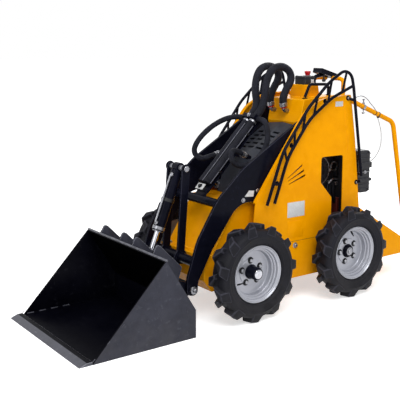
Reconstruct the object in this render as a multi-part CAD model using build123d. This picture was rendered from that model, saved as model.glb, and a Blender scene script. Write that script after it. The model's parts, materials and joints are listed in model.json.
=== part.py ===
"""A four-wheeled mini loader with a walk-behind step, its bucket flat on the floor.

Lengths are in millimetres. +X is forward, +Y is the machine's left and +Z is up. The values below
are measured from a zero on the floor midway between the axles, and each piece is moved once, as it
is written, to the part's own origin below the middle of the machine's length.
"""
from build123d import *
import os
from math import atan2, cos, degrees, hypot, pi, radians, sin

# General values
overrun = 5
seat_gap = 0.3
pin_gap = 0.05
sheet = 6

# Wheels
wheelbase = 647
tyre_radius = 237
carcass_radius = 214
tyre_width = 112
tyre_sides = 33
lug_count = 11
lug_width = 30
lug_lead_share = 0.50
lug_trail_share = 0.95
lug_inset = 3
lug_start = 3
rim_radius = 139
rim_width = 78
rim_wall = 5
wheel_reach = 98
disc_inset = 62
disc_thickness = 8
hub_radius = 31
hub_bore = 17
wheel_bolt_count = 5
wheel_bolt_radius = 8
wheel_bolt_circle = 56
wheel_bolt_height = 13
front_hub_reach = 43
rear_hub_reach = 2

# Chassis frame
frame_half_width = 250
frame_floor = 125
frame_top = 318
frame_rear = -480
front_motor_gap = 15.5
nose_set_in = 15
nose_lap = 80
nose_ledge = 310
nose_height = 540
nose_step_x = 455
nose_step_z = 305
nose_front = 500
nose_chin = 185
motor_radius = 58
motor_depth = 44
motor_neck_radius = 41
tie_front_x = 60
tie_rear_x = -700
tie_height = 93
tie_radius = 26
tie_bore = 13
tie_sheet = 12

# Side panels
panel_sheet = 5
panel_overhang = 15
panel_top = 1047
seam = 0.4
flange_depth = 26
rim_depth = 18
window_front = -195
window_rear = -352
window_bottom = 400
window_top = 735
window_corner = 16

# Console tower, grille, engine and muffler
console_half_width = 130
console_front_bottom_x = -150
console_front_bottom_z = 905
console_front_top_x = -176
console_front_top_z = 1022
console_rear_x = -400
console_rear_z = 1040
console_skirt = 870
grille_half_width = 140
grille_edge_drop = 14
grille_top_x = -144
grille_top_z = 899
grille_break_x = 120
grille_break_z = 733
grille_foot_step = 12
grille_sheet = 4
slot_rows = 5
slot_width = 46
slot_height = 14
slot_pitch = 34
slot_spacing = 66
engine_front = 20
engine_rear = -425
engine_half_width = 104
engine_bottom = 480
engine_top = 760
crankcase_bottom = 340
shroud_radius = 92
shroud_depth = 34
shroud_x = -292
shroud_z = 640
starter_radius = 46
muffler_front = -508
muffler_rear = -598
muffler_bottom = 506
muffler_top = 738
muffler_left = 212
muffler_right = 60
muffler_corner = 22
muffler_band = 8

# Guards, rails and step
guard_stand = 24
guard_front = 184
guard_rear = -468
guard_foot = 531
guard_top = 1180
guard_radius = 8
rung_radius = 6
rail_radius = 13
rail_start_x = -409
rail_start_z = 1018
rail_corner_x = -750
rail_corner_z = 884
rail_foot_x = -912
rail_bend = 60
step_rear = -960
step_sheet = 5
step_side_height = 305
step_tail_height = 62

# Controls
box_front = -262
box_rear = -330
box_half_width = 42
box_height = 45
riser_height = 65
riser_half_width = 70
knob_radius = 14
knob_height = 26
knob_taper = 12
lever_guard_x = -445
lever_guard_z = 1150
lever_guard_length = 118
lever_guard_width = 70
lever_guard_height = 26
lever_guard_tilt = 16
lever_stem_radius = 10
handle_radius = 8
handle_front = -212
handle_rear = -380
handle_rise = 66
handle_plane = 96

# Lifting arm
pivot_x = -240
pivot_z = 955
pivot_radius = 20
pin_x = 585
pin_z = 168
pin_lobe = 30
pin_radius = 12.5
arm_set_in = 45
arm_sheet = 15
boss_depth = 3
cross_tube_x = 553
cross_tube_z = 290
cross_tube_radius = 24
upper_tube_x = 392
upper_tube_z = 545
upper_tube_radius = 22

# Tilt bars and tilt cylinder
tilt_top_x = 518
tilt_top_z = 716
bar_plane = 65
bar_sheet = 12
bar_half_width = 21
bar_foot_radius = 36
tilt_pin_radius = 14
tilt_barrel_radius = 29
tilt_bore = 23
tilt_rod_radius = 12
tilt_barrel_length = 320
tilt_piston = 110
tilt_eye_x = 680
tilt_eye_z = 312
tilt_eye_radius = 24
tilt_eye_half_width = 21
tilt_ear_inner = 30

# Lift cylinders
lift_base_x = -430
lift_base_z = 200
lift_head_x = 200
lift_head_z = 600
lift_set_in = 33
lift_barrel_radius = 25
lift_bore = 19
lift_rod_radius = 12.5
lift_head_gap = 30
lift_piston = 38
lift_eye_radius = 26
lift_eye_half_width = 20
lift_pin_radius = 12.5
lift_lug_sheet = 6
gland_depth = 18

# Bucket and hitch
bucket_half_width = 370
bucket_sheet = 6
lip_x = 1247
bucket_back_x = 670
bucket_back_z = 131
bucket_back_run = 152
bucket_top_z = 381
edge_depth = 62
edge_thickness = 14
gusset_height = 34
gusset_length = 70
gusset_sheet = 8
hitch_sheet = 10
hitch_set_in = 6
hitch_ear_sheet = 12

# Hoses and cable
sleeve_radius = 20
side_hose_radius = 14
coupler_radius = 13
bracket_x = 175
bracket_z = 750
bracket_radius = 9
bracket_reach = 126
collar_length = 24
collar_wall = 8
cable_radius = 2.5
fitting_radius = 12
fitting_height = 958
fitting_reach = 24
carrier_margin = 3
carrier_sheet = 6

# Places that follow from the sizes above
wheel_offset = frame_half_width + wheel_reach
front_hub_face = wheel_offset + front_hub_reach
rear_hub_face = wheel_offset + rear_hub_reach
arm_inner = frame_half_width - arm_set_in
nose_half_width = arm_inner - nose_set_in
frame_front = wheelbase / 2 - motor_radius - front_motor_gap
nose_back = frame_front - nose_lap
grille_foot_x = nose_back + grille_foot_step
motor_inner = frame_half_width - motor_depth
panel_rear_reach = frame_rear - panel_overhang
panel_front_reach = frame_front
guard_plane = frame_half_width + guard_stand
rail_plane = frame_half_width - step_sheet - seat_gap - rail_radius
lift_plane = arm_inner - lift_set_in
lift_reach = hypot(lift_head_x - lift_base_x, lift_head_z - lift_base_z)
lift_barrel_length = lift_reach - lift_eye_radius - lift_head_gap
bucket_top_x = bucket_back_x + bucket_back_run
deck_slope = (console_rear_z - console_front_top_z) / (console_rear_x - console_front_top_x)
box_bottom = console_front_top_z + (box_front - console_front_top_x) * deck_slope + riser_height
box_top = box_bottom + box_height
hitch_half_width = arm_inner - hitch_set_in

# Tables of places, as shares of the sizes named above
panel_shares = [
    # share of the panel's length from its rear, share of its height from the seam, corner radius share
    (1.000, 0.000, 0.02),
    (0.994, 0.190, 0.06),
    (0.983, 0.308, 0.10),
    (0.760, 0.620, 0.30),
    (0.560, 0.893, 0.25),
    (0.400, 0.984, 0.25),
    (0.132, 1.000, 0.02),
    (0.079, 0.680, 0.10),
    (0.010, 0.110, 0.05),
    (0.000, 0.000, 0.00),
]
slot_shares = [
    # front end and rear end as shares of the panel's length, then shares of its height
    (0.713, 0.578, 0.449, 0.531),
    (0.706, 0.561, 0.430, 0.494),
    (0.698, 0.548, 0.408, 0.459),
]
slot_tip_share = 0.003
slot_tail_share = 0.017
arm_shares = [
    # share of the reach from pivot to bucket pin, share of the drop from pivot to pin, radius share
    (0.042, -0.069, 0.04),
    (0.640, 0.304, 0.30),
    (0.824, 0.476, 0.30),
    (0.965, 0.712, 0.30),
    (1.035, 0.930, 0.10),
    (1.038, 1.030, 0.03),
    (0.966, 1.042, 0.03),
    (0.963, 0.960, 0.05),
    (0.862, 0.775, 0.30),
    (0.672, 0.508, 0.16),
    (0.560, 0.520, 0.06),
    (0.400, 0.490, 0.10),
    (0.140, 0.230, 0.20),
    (-0.078, 0.010, 0.05),
    (-0.060, -0.050, 0.04),
]
guard_outer_shares = [
    # share of the guard's length from its rear foot, share of its height, radius share
    (1.000, 0.000, 0.0),
    (0.850, 0.395, 0.5),
    (0.600, 0.715, 0.5),
    (0.395, 0.900, 0.5),
    (0.165, 1.030, 0.09),
    (0.120, 0.850, 0.3),
    (0.000, 0.130, 0.0),
]
guard_inner_shares = [
    (0.928, 0.006, 0.0),
    (0.800, 0.350, 0.5),
    (0.590, 0.625, 0.5),
    (0.360, 0.780, 0.5),
    (0.131, 0.868, 0.0),
]
rung_shares = [
    # where each rung meets the outer tube and the inner tube, as shares of each tube's length
    (0.075, 0.125),
    (0.200, 0.270),
    (0.275, 0.380),
    (0.350, 0.490),
    (0.430, 0.620),
    (0.515, 0.765),
    (0.595, 0.900),
]
# gussets across the bucket, as shares of half its width
gusset_shares = (-0.66, -0.16, 0.16, 0.66)
stand_off_shares = (0.125, 0.380, 0.765)
muffler_rib_shares = (0.30, 0.62, 0.68)
tyre_shares = [
    # share of the carcass radius, share of half the tyre's width
    (0.700, 0.86),
    (0.860, 1.00),
    (0.955, 0.88),
    (1.000, 0.50),
]
lug_root_share = 0.88
lug_crown_share = 0.74
# shares of the length of the bucket's back, where the hitch plate's pieces start and end
board_share = 0.78
ear_share = 0.45
window_shares = (0.20, 0.70)
rod_ear_shares = (0.28, 0.76)


# Where the sleeved hoses lie, and the routes of the hoses and the cable
collar = (38, 935)
bundle_end = (348, 621)
bundle_widths = {"left": 0, "right": -45}
loop_points = {
    "left": [
        (-131.8, 20, 985.6),
        (-122, 20, 1021),
        (-148, 20, 1074),
        (-184, 20, 1118),
        (-172, 20, 1168),
        (-112, 18, 1196),
        (-52, 14, 1178),
        (-20, 10, 1118),
        (-18, 4, 1050),
        (-10, 0, 1000),
        (6.2, 0, 967.2),
        (37.8, 0, 935.2),
    ],
    "right": [
        (-131.8, -84, 985.6),
        (-122, -84, 1021),
        (-150, -84, 1076),
        (-184, -82, 1124),
        (-168, -76, 1170),
        (-106, -70, 1196),
        (-40, -62, 1182),
        (-4, -56, 1128),
        (4, -50, 1060),
        (-4, -46, 1006),
        (6.2, -45, 967.2),
        (37.8, -45, 935.2),
    ],
}
side_hose_points = {
    "left": [
        (46.4, 28.3, 926.5),
        (46.4, 56, 926.5),
        (52, 90, 918),
        (61, 118, 890),
        (72, 140, 850),
        (92, 152, 806),
        (126, 157, 764),
        (172, 154, 733),
        (218, 147, 714),
        (258, 138, 716),
        (284, 128, 738),
        (288, 118, 766),
        (278, 113, 788),
        (254, 112, 790.4),
        (222, 112, 774),
    ],
    "right": [
        (46.4, -73.3, 926.5),
        (46.4, -98, 926.5),
        (84, -117, 931),
        (136, -129, 922),
        (194, -139, 898),
        (250, -146, 862),
        (300, -148, 818),
        (330, -144, 772),
        (320, -136, 738),
        (288, -123, 722),
        (251.3, -112, 733.8),
        (222, -112, 740),
    ],
}
cable_shares = [
    # x, share of the rail's distance from the middle, z
    (-624, 1.000, 917.6),
    (-650, 0.993, 868),
    (-668, 0.975, 812),
    (-677, 0.924, 744),
    (-662, 0.811, 684),
    (-646, 0.604, 646),
    (-634, 0.363, 634),
    (-596, 0.104, 630),
    (-500, 0.043, 640),
    (-425.3, 0.026, 643),
]


def side_plane(width):
    """Plane along the machine at a given width, with its own x forward and y up."""
    return Plane(origin=(0, width, 0), x_dir=(1, 0, 0), z_dir=(0, -1, 0))


def plate(outline, radii, inner, outer):
    """Flat plate standing along the machine between two widths."""
    face = make_face(FilletPolyline(*outline, radius=radii, close=True))
    return extrude(side_plane(inner) * face, amount=outer - inner, dir=(0, 1, 0))


def block(x_range, y_range, z_range):
    """Box between two places on each axis."""
    size = [high - low for low, high in (x_range, y_range, z_range)]
    middle = [(high + low) / 2 for low, high in (x_range, y_range, z_range)]
    return Pos(*middle) * Box(*size)


def cross_pin(x, z, radius, inner, outer):
    """Round bar across the machine between two widths."""
    disc = side_plane(inner) * (Pos(x, z) * Circle(radius))
    return extrude(disc, amount=outer - inner, dir=(0, 1, 0))


def tube(points, radii, radius):
    """Round bar along straight runs joined by arcs."""
    path = FilletPolyline(*points, radius=radii)
    section = Plane(origin=path @ 0, z_dir=path % 0) * Circle(radius)
    return sweep(section, path=path)


def both_sides(shape):
    """The shape and its mirror image on the other side, as one set of solids."""
    return Compound(children=[*shape.solids(), *mirror(shape, about=Plane.XZ).solids()])


def turned(radial_outline):
    """Solid of revolution about the Y axis, from points of radius and width."""
    profile = make_face(Polyline(*radial_outline, close=True))
    return revolve(profile, axis=Axis.Y)


def place_wheel(shape, x, side):
    """A wheel piece, modelled at the axis with its outer face toward +Y, moved to its axle."""
    faced = shape if side > 0 else mirror(shape, about=Plane.XZ)
    return Pos(x, side * wheel_offset, tyre_radius) * faced


# Wheels
def flat_faced(rings, closed):
    """Solid of flat faces between rings of corners: a closed loop of rings, or a stack with two ends."""
    pairs = list(zip(rings, rings[1:]))
    if closed:
        pairs.append((rings[-1], rings[0]))
    corners = [] if closed else [rings[0], rings[-1]]
    for lower, upper in pairs:
        for here, there in zip(range(-1, len(lower) - 1), range(len(lower))):
            corners.append([lower[here], lower[there], upper[there], upper[here]])
    return Solid(Shell([Face(Wire.make_polygon(ring)) for ring in corners]))


def tyre_ring(radius, width):
    """Corners of a many-sided ring about the wheel's axis."""
    step = 2 * pi / tyre_sides
    return [(radius * sin(side * step), width, radius * cos(side * step)) for side in range(tyre_sides)]


def lug_outline(inner, outer, half_width):
    """Corners of a swept lug between two widths, its sides leaning back from the middle of the tread."""
    return [
        (lug_lead_share * inner - half_width, inner),
        (lug_trail_share * inner + half_width, inner),
        (lug_trail_share * outer + half_width, outer),
        (lug_lead_share * outer - half_width, outer),
    ]


def make_tyre():
    """Carcass with a row of tapered lugs on each side, staggered by half a pitch."""
    half = tyre_width / 2
    out = 1 / cos(pi / tyre_sides)
    seat = out * (rim_radius - 2 * rim_wall + seat_gap)
    flange = out * (rim_radius + seat_gap)
    bead = rim_width / 2 - 2 * rim_wall - seat_gap
    profile = [(seat, bead), (flange, bead)]
    profile += [(carcass_radius * share, half * wide) for share, wide in tyre_shares]
    profile += [(radius, -width) for radius, width in reversed(profile)]
    carcass = flat_faced([tyre_ring(radius, width) for radius, width in profile], True)
    foot = lug_outline(-lug_start - lug_inset, half, lug_width / 2 + lug_inset)
    crown = lug_outline(-lug_start, half * lug_crown_share, lug_width / 2 - lug_inset)
    middle = (min(x for x, _ in crown) + max(x for x, _ in crown)) / 2
    reach = max(x for x, _ in crown) - middle
    height = (tyre_radius ** 2 - reach ** 2) ** 0.5
    rings = [
        [(x - middle, y, z) for x, y in outline]
        for outline, z in ((foot, carcass_radius * lug_root_share), (crown, height))
    ]
    lug = flat_faced(rings, False)
    pitch = 360 / lug_count
    lugs = []
    for index in range(lug_count):
        lugs.append(Rot(0, index * pitch, 0) * lug)
        lugs.append(Rot(0, (index + 0.5) * pitch, 0) * mirror(lug, about=Plane.XZ))
    # a corner of one lug is turned straight down, so that the tyre stands on it
    turn = 180 - degrees(atan2(reach, height))
    return Rot(0, turn, 0) * carcass.fuse(*lugs)


def make_rim():
    half = rim_width / 2
    seat = rim_radius - 2 * rim_wall
    well = seat - 3 * rim_wall
    disc = wheel_disc_width()
    outline = [
        (rim_radius, half),
        (rim_radius, half - rim_wall),
        (seat, half - 2 * rim_wall),
        (seat, half * 0.45),
        (well, half * 0.20),
        (well, -half * 0.45),
        (seat, -half * 0.60),
        (seat, -half + 2 * rim_wall),
        (rim_radius, -half + rim_wall),
        (rim_radius, -half),
        (seat - rim_wall, -half),
        (well - rim_wall, disc - disc_thickness),
        (hub_bore, disc - disc_thickness),
        (hub_bore, disc),
        (well - rim_wall, disc),
        (well - rim_wall, half * 0.10),
        (seat - rim_wall, half * 0.40),
        (seat - rim_wall, half - 2 * rim_wall),
        (rim_radius - rim_wall, half),
    ]
    return turned(outline)


def wheel_disc_width():
    """Width of the rim disc's outer face from the middle of the wheel."""
    return rim_width / 2 - disc_inset


def make_hub(face):
    """Hub with its bolts, from the rim disc out to the given width of the machine."""
    disc = wheel_disc_width()
    outer = face - wheel_offset
    body = turned([
        (0, disc), (hub_radius, disc), (hub_radius, outer - hub_radius * 0.5),
        (hub_radius * 0.8, outer - hub_radius * 0.15), (0, outer),
    ])
    bolts = []
    for index in range(wheel_bolt_count):
        angle = 2 * pi * index / wheel_bolt_count
        at = (wheel_bolt_circle * cos(angle), disc, wheel_bolt_circle * sin(angle))
        head = Plane(origin=at, z_dir=(0, 1, 0)) * RegularPolygon(wheel_bolt_radius, 6)
        bolts.append(extrude(head, amount=wheel_bolt_height))
    flange = turned([
        (0, disc), (wheel_bolt_circle + wheel_bolt_radius, disc),
        (wheel_bolt_circle + wheel_bolt_radius, disc + rim_wall / 2), (0, disc + rim_wall / 2),
    ])
    stub = turned([(0, disc), (hub_bore - pin_gap, disc), (hub_bore - pin_gap, disc - disc_thickness),
                   (0, disc - disc_thickness)])
    return body.fuse(flange, stub, *bolts)


def make_motors():
    """Drive motors: the rear pair inside the frame's walls, the front pair outside the nose."""
    disc_inner = wheel_offset + wheel_disc_width() - disc_thickness - seat_gap
    rear_face = frame_half_width - sheet - seat_gap
    front_face = nose_half_width + seat_gap
    rear = cross_pin(-wheelbase / 2, tyre_radius, motor_radius, motor_inner, rear_face)
    rear_neck = cross_pin(-wheelbase / 2, tyre_radius, motor_neck_radius, motor_inner, disc_inner)
    front = cross_pin(wheelbase / 2, tyre_radius, motor_radius, front_face, frame_half_width)
    front_neck = cross_pin(wheelbase / 2, tyre_radius, motor_neck_radius, front_face, disc_inner)
    pairs = (rear.fuse(rear_neck), front.fuse(front_neck))
    return Compound(children=[solid for pair in pairs for solid in both_sides(pair).solids()])


# Chassis
def nose_outline(inset):
    """Corners of the stepped nose, moved in from its skin."""
    return [
        (nose_back, frame_floor + inset),
        (nose_back, nose_height - inset),
        (nose_ledge - inset / 2, nose_height - inset),
        (nose_step_x - inset / 2, nose_step_z - inset),
        (nose_front - inset, nose_step_z - inset),
        (nose_front - inset, nose_chin + inset / 2),
        (nose_step_x - inset / 2, frame_floor + inset),
    ]


def nose_room():
    """The space inside the nose, open to the frame behind it."""
    room = plate(nose_outline(sheet), 0, -nose_half_width + sheet, nose_half_width - sheet)
    back = block(
        (nose_back - overrun, nose_back + 2 * sheet),
        (-nose_half_width + sheet, nose_half_width - sheet),
        (frame_floor + sheet, nose_height - sheet),
    )
    return room.fuse(back)


def make_nose():
    """Stepped front nose between the arms, seated on the front of the frame."""
    nose = plate(nose_outline(0), 0, -nose_half_width, nose_half_width) - nose_room()
    return nose - block(
        (nose_back - overrun, frame_front + seam),
        (-frame_half_width, frame_half_width),
        (frame_floor - overrun, frame_top + seam),
    )


def make_frame():
    """Open tub of the frame: floor, four walls, and lugs for the lift cylinders and for tying down."""
    length = (frame_rear, frame_front)
    width = (-frame_half_width, frame_half_width)
    tub = block(length, width, (frame_floor, frame_top))
    tub -= block(
        (frame_rear + sheet, frame_front - sheet),
        (-frame_half_width + sheet, frame_half_width - sheet),
        (frame_floor + sheet, frame_top + overrun),
    )
    frame = tub - nose_room()
    frame -= cross_pin(-wheelbase / 2, tyre_radius, motor_neck_radius + seat_gap,
                       -frame_half_width - overrun, frame_half_width + overrun)
    # lugs for the lift cylinders' lower pins stand on the floor
    lugs = []
    for inner in (lift_plane - lift_eye_half_width - 2 * lift_lug_sheet,
                  lift_plane + lift_eye_half_width + lift_lug_sheet):
        lug = plate([
            (lift_base_x - 2 * lift_eye_radius, frame_floor + sheet),
            (lift_base_x - lift_eye_radius / 2, lift_base_z + lift_eye_radius),
            (lift_base_x + lift_eye_radius / 2, lift_base_z + lift_eye_radius),
            (lift_base_x + 2 * lift_eye_radius, frame_floor + sheet),
        ], 0, inner, inner + lift_lug_sheet)
        lug -= cross_pin(lift_base_x, lift_base_z, lift_pin_radius + pin_gap, inner - overrun,
                         inner + lift_lug_sheet + overrun)
        lugs.extend(both_sides(lug).solids())
    return frame.fuse(make_tie_lug(tie_front_x), *lugs)


def make_tie_lug(x):
    """Bored tie-down lug hanging below the floor on the middle line."""
    half = tie_sheet / 2
    lug = plate([
        (x - 2 * tie_radius, frame_floor),
        (x - tie_radius, tie_height - tie_radius),
        (x + tie_radius, tie_height - tie_radius),
        (x + 2 * tie_radius, frame_floor),
        (x + 2 * tie_radius, frame_floor + sheet / 2),
        (x - 2 * tie_radius, frame_floor + sheet / 2),
    ], [0, tie_radius / 2, tie_radius / 2, 0, 0, 0], -half, half)
    return lug - cross_pin(x, tie_height, tie_bore, -half - overrun, half + overrun)


def panel_point(along, up):
    """Place on the side panel from shares of its length and height."""
    length = panel_front_reach - panel_rear_reach
    bottom = frame_top + seam
    return (panel_rear_reach + along * length, bottom + up * (panel_top - bottom))


def make_panel():
    """Left side panel with its window, three tapered slots and folded edges."""
    height = panel_top - frame_top
    outline = [panel_point(along, up) for along, up, _ in panel_shares]
    radii = [height * share for _, _, share in panel_shares]
    inner = frame_half_width - panel_sheet
    panel = plate(outline, radii, inner, frame_half_width)
    window = [
        (window_front, window_top),
        (window_rear, window_top),
        (window_rear, window_bottom),
        (window_rear + (window_front - window_rear) / 2, window_bottom),
        (window_rear + (window_front - window_rear) / 2, window_bottom + (window_top - window_bottom) * 0.35),
        (window_front, window_bottom + (window_top - window_bottom) * 0.60),
    ]
    panel -= plate(window, window_corner, inner - overrun, frame_half_width + overrun)
    for front, rear, low, high in slot_shares:
        tip = panel_point(front, low)
        tail = panel_point(rear, high)
        panel -= plate([
            (tip[0], tip[1] + height * slot_tip_share),
            (tail[0], tail[1] + height * slot_tail_share / 2),
            (tail[0], tail[1] - height * slot_tail_share / 2),
            (tip[0], tip[1] - height * slot_tip_share),
        ], 0, inner - overrun, frame_half_width + overrun)
    # the rear edge is folded inward
    fold = [panel_point(along, up) for along, up, _ in panel_shares[6:9]]
    strip = [*fold, *[(x + panel_sheet, z) for x, z in reversed(fold)]]
    flange = plate(strip, 0, inner - flange_depth, inner + panel_sheet / 2)
    return panel.fuse(flange, make_panel_rim(outline, radii, inner))


def make_panel_rim(outline, radii, inner):
    """Folded front and top edges of the side panel, one sheet thick along the curved outline."""
    whole = plate(outline, radii, inner - rim_depth, inner + panel_sheet / 2)
    face = make_face(FilletPolyline(*outline, radius=radii, close=True))
    room = side_plane(inner - rim_depth - overrun) * offset(face, amount=-panel_sheet)
    whole -= extrude(room, amount=rim_depth + panel_sheet + overrun, dir=(0, 1, 0))
    top = panel_point(*panel_shares[6][:2])
    foot = panel_point(*panel_shares[2][:2])
    kept = block(
        (top[0], panel_front_reach + overrun),
        (inner - rim_depth - overrun, frame_half_width + overrun),
        (foot[1], panel_top + overrun),
    )
    return whole.intersect(kept).solid()


def make_console():
    """Console tower: leaning front plate, deck and two side walls, open below and behind."""
    outline = [
        (console_front_bottom_x, console_front_bottom_z),
        (console_front_top_x, console_front_top_z),
        (console_rear_x, console_rear_z),
        (console_rear_x, console_skirt),
        (console_front_bottom_x - 2 * sheet, console_skirt),
    ]
    tower = plate(outline, 0, -console_half_width, console_half_width)
    room = [
        (console_front_bottom_x - sheet, console_front_bottom_z),
        (console_front_top_x - sheet, console_front_top_z - sheet),
        (console_rear_x - overrun, console_rear_z - sheet),
        (console_rear_x - overrun, console_skirt - overrun),
        (console_front_bottom_x - sheet, console_skirt - overrun),
    ]
    tower -= plate(room, 0, -console_half_width + sheet, console_half_width - sheet)
    return tower.fuse(make_riser())


def deck_height(x):
    """Height of the console's deck at a place along the machine."""
    return console_front_top_z + (x - console_front_top_x) * deck_slope


def make_riser():
    """Folded stand on the deck that carries the control box."""
    front = box_front + 2 * sheet
    rear = box_rear - 2 * sheet
    outline = [
        (front, deck_height(front) - sheet / 2),
        (box_front, box_bottom),
        (box_rear, box_bottom),
        (rear, deck_height(rear) - sheet / 2),
    ]
    return plate(outline, 0, -riser_half_width, riser_half_width)


def grille_profile(drop):
    """Grille line from its top to its foot, lowered by a drop."""
    return [
        (grille_top_x, grille_top_z - drop),
        (grille_break_x, grille_break_z - drop),
        (grille_foot_x, nose_height + grille_sheet + seat_gap),
    ]


def grille_half():
    """Left half of the grille cover, lofted from its ridge to its lower outer edge."""
    sections = []
    for width, drop in ((0, 0), (grille_half_width, grille_edge_drop)):
        line = grille_profile(drop)
        under = [(x - grille_sheet, z - grille_sheet) for x, z in reversed(line)]
        sections.append(side_plane(width) * make_face(Polyline(*line, *under, close=True)))
    return loft(sections, ruled=True)


def make_grille():
    half = grille_half()
    cover = half.fuse(mirror(half, about=Plane.XZ))
    # rows of slots step down the slope, two columns on each side of the ridge
    run = hypot(grille_break_x - grille_top_x, grille_top_z - grille_break_z)
    slope = atan2(grille_top_z - grille_break_z, grille_break_x - grille_top_x)
    first = (run - slot_pitch * (slot_rows - 1)) / 2
    cutters = []
    for row in range(slot_rows):
        along = first + row * slot_pitch
        x = grille_top_x + along * cos(slope)
        z = grille_top_z - along * sin(slope)
        for column in (-1.5, -0.5, 0.5, 1.5):
            y = column * slot_spacing
            cutters.append(Pos(x, y, z) * Rot(0, degrees(slope), 0)
                           * Box(slot_height, slot_width, slot_pitch))
    return cover.cut(*cutters)


def make_engine():
    """Engine block with the flywheel shroud and starter facing the left window."""
    body = block((engine_rear, engine_front), (-engine_half_width, engine_half_width),
                 (engine_bottom, engine_top))
    rings = [
        (shroud_radius, shroud_depth * 0.5),
        (shroud_radius * 0.8, shroud_depth * 0.8),
        (starter_radius, shroud_depth),
    ]
    stack = [
        cross_pin(shroud_x, shroud_z, radius, engine_half_width - sheet, engine_half_width + depth)
        for radius, depth in rings
    ]
    return body.fuse(make_crankcase(), *stack)


def make_crankcase():
    """Crankcase on two bearers that stand on the frame's floor."""
    body = block((engine_rear, engine_front), (-engine_half_width, engine_half_width),
                 (crankcase_bottom, engine_bottom))
    bearers = [
        block((x, x + 8 * sheet), (-engine_half_width, engine_half_width),
              (frame_floor + sheet, crankcase_bottom))
        for x in (engine_rear + 4 * sheet, engine_front - 30 * sheet)
    ]
    return body.fuse(*bearers)


def make_muffler():
    """Rounded ribbed box behind the engine, on a short pipe."""
    middle = (muffler_top + muffler_bottom) / 2
    can = block((muffler_rear, muffler_front), (muffler_right, muffler_left),
                (muffler_bottom, muffler_top))
    can = fillet(can.edges().filter_by(Axis.Y), muffler_corner)
    ribs = []
    for share in muffler_rib_shares:
        z = muffler_bottom + share * (muffler_top - muffler_bottom)
        ribs.append(block(
            (muffler_rear - muffler_band, muffler_front + muffler_band),
            (muffler_right - muffler_band, muffler_left + muffler_band),
            (z - muffler_band, z + muffler_band),
        ))
    pipe = block((muffler_front - sheet, engine_rear - seat_gap),
                 (muffler_right + muffler_corner, muffler_right + 3 * muffler_corner),
                 (middle - muffler_corner, middle + muffler_corner))
    return can.fuse(*ribs, pipe)


# Guards, rails and step
def guard_point(along, up):
    """Place on the guard from shares of its length and height."""
    return Vector(
        guard_rear + along * (guard_front - guard_rear),
        guard_plane,
        guard_foot + up * (guard_top - guard_foot),
    )


def guard_tube(shares):
    height = guard_top - guard_foot
    points = [guard_point(along, up) for along, up, _ in shares]
    radii = [height * share for _, _, share in shares[1:-1]]
    return FilletPolyline(*points, radius=radii)


def swept(path, radius):
    return sweep(Plane(origin=path @ 0, z_dir=path % 0) * Circle(radius), path=path)


def make_guard():
    """Left arm guard: two tubes, seven rungs and the stand-offs that hold it to the panel."""
    outer = guard_tube(guard_outer_shares)
    inner = guard_tube(guard_inner_shares)
    guard = swept(outer, guard_radius).fuse(swept(inner, guard_radius))
    for outer_share, inner_share in rung_shares:
        guard = guard.fuse(swept(Line(outer @ outer_share, inner @ inner_share), rung_radius))
    for share in stand_off_shares:
        at = inner @ share
        stand = cross_pin(at.X, at.Z, rung_radius, frame_half_width + seat_gap, guard_plane)
        guard = guard.fuse(stand)
    foot = outer @ 1
    bracket = cross_pin(foot.X, foot.Z + guard_radius, rung_radius, frame_half_width + seat_gap,
                        guard_plane)
    return guard.fuse(bracket)


def make_rail():
    """Left operator rail, from the panel's rear flange back and down to the step."""
    points = [
        (rail_start_x, rail_plane, rail_start_z),
        (rail_corner_x, rail_plane, rail_corner_z),
        (rail_foot_x, rail_plane, frame_floor + step_sheet + rail_radius / 2),
    ]
    return tube(points, [rail_bend], rail_radius)


def make_step():
    """Rear step: floor between two side plates whose top edges slope down to the rear."""
    floor = block((step_rear, frame_rear - seam), (-frame_half_width, frame_half_width),
                  (frame_floor, frame_floor + step_sheet))
    side = plate([
        (frame_rear - seam, frame_floor),
        (frame_rear - seam, frame_top),
        (panel_rear_reach - seam, frame_top),
        (panel_rear_reach - seam, frame_floor + step_side_height),
        (step_rear + step_tail_height, frame_floor + step_tail_height),
        (step_rear, frame_floor + step_tail_height * 0.6),
        (step_rear, frame_floor),
    ], 0, frame_half_width - step_sheet, frame_half_width)
    return floor.fuse(make_tie_lug(tie_rear_x), *both_sides(side).solids())


# Controls
def make_control_box():
    return block((box_rear, box_front), (-box_half_width, box_half_width),
                 (box_bottom + seat_gap, box_top))


def make_switch():
    """Red battery switch on top of the control box."""
    at = Plane(origin=(box_rear + knob_radius, 0, box_top + seat_gap))
    return extrude(at * Circle(knob_radius), amount=knob_height, taper=knob_taper)


def make_lever_guard():
    """Slotted guard over the control levers, with one lever and its stem down to the deck."""
    half_length = lever_guard_length / 2
    half_width = lever_guard_width / 2
    bar = Box(lever_guard_length, lever_guard_width, lever_guard_height)
    slots = [
        Pos(step * lever_guard_length / 5, 0, 0)
        * Box(lever_guard_length / 12, lever_guard_width * 0.6, lever_guard_height * 2)
        for step in (-1.5, -0.5, 0.5, 1.5)
    ]
    bar = bar.cut(*slots)
    bar = Pos(lever_guard_x, 0, lever_guard_z) * Rot(0, -lever_guard_tilt, 0) * bar
    foot_x = console_rear_x + half_width
    foot_z = deck_height(foot_x - lever_stem_radius) + seat_gap
    stem = tube([
        (foot_x, 0, foot_z),
        (foot_x, 0, lever_guard_z - half_length * 0.3),
        (lever_guard_x, 0, lever_guard_z - lever_guard_height * 0.2),
    ], [lever_guard_height * 0.8], lever_stem_radius)
    return bar.fuse(stem)


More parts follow.
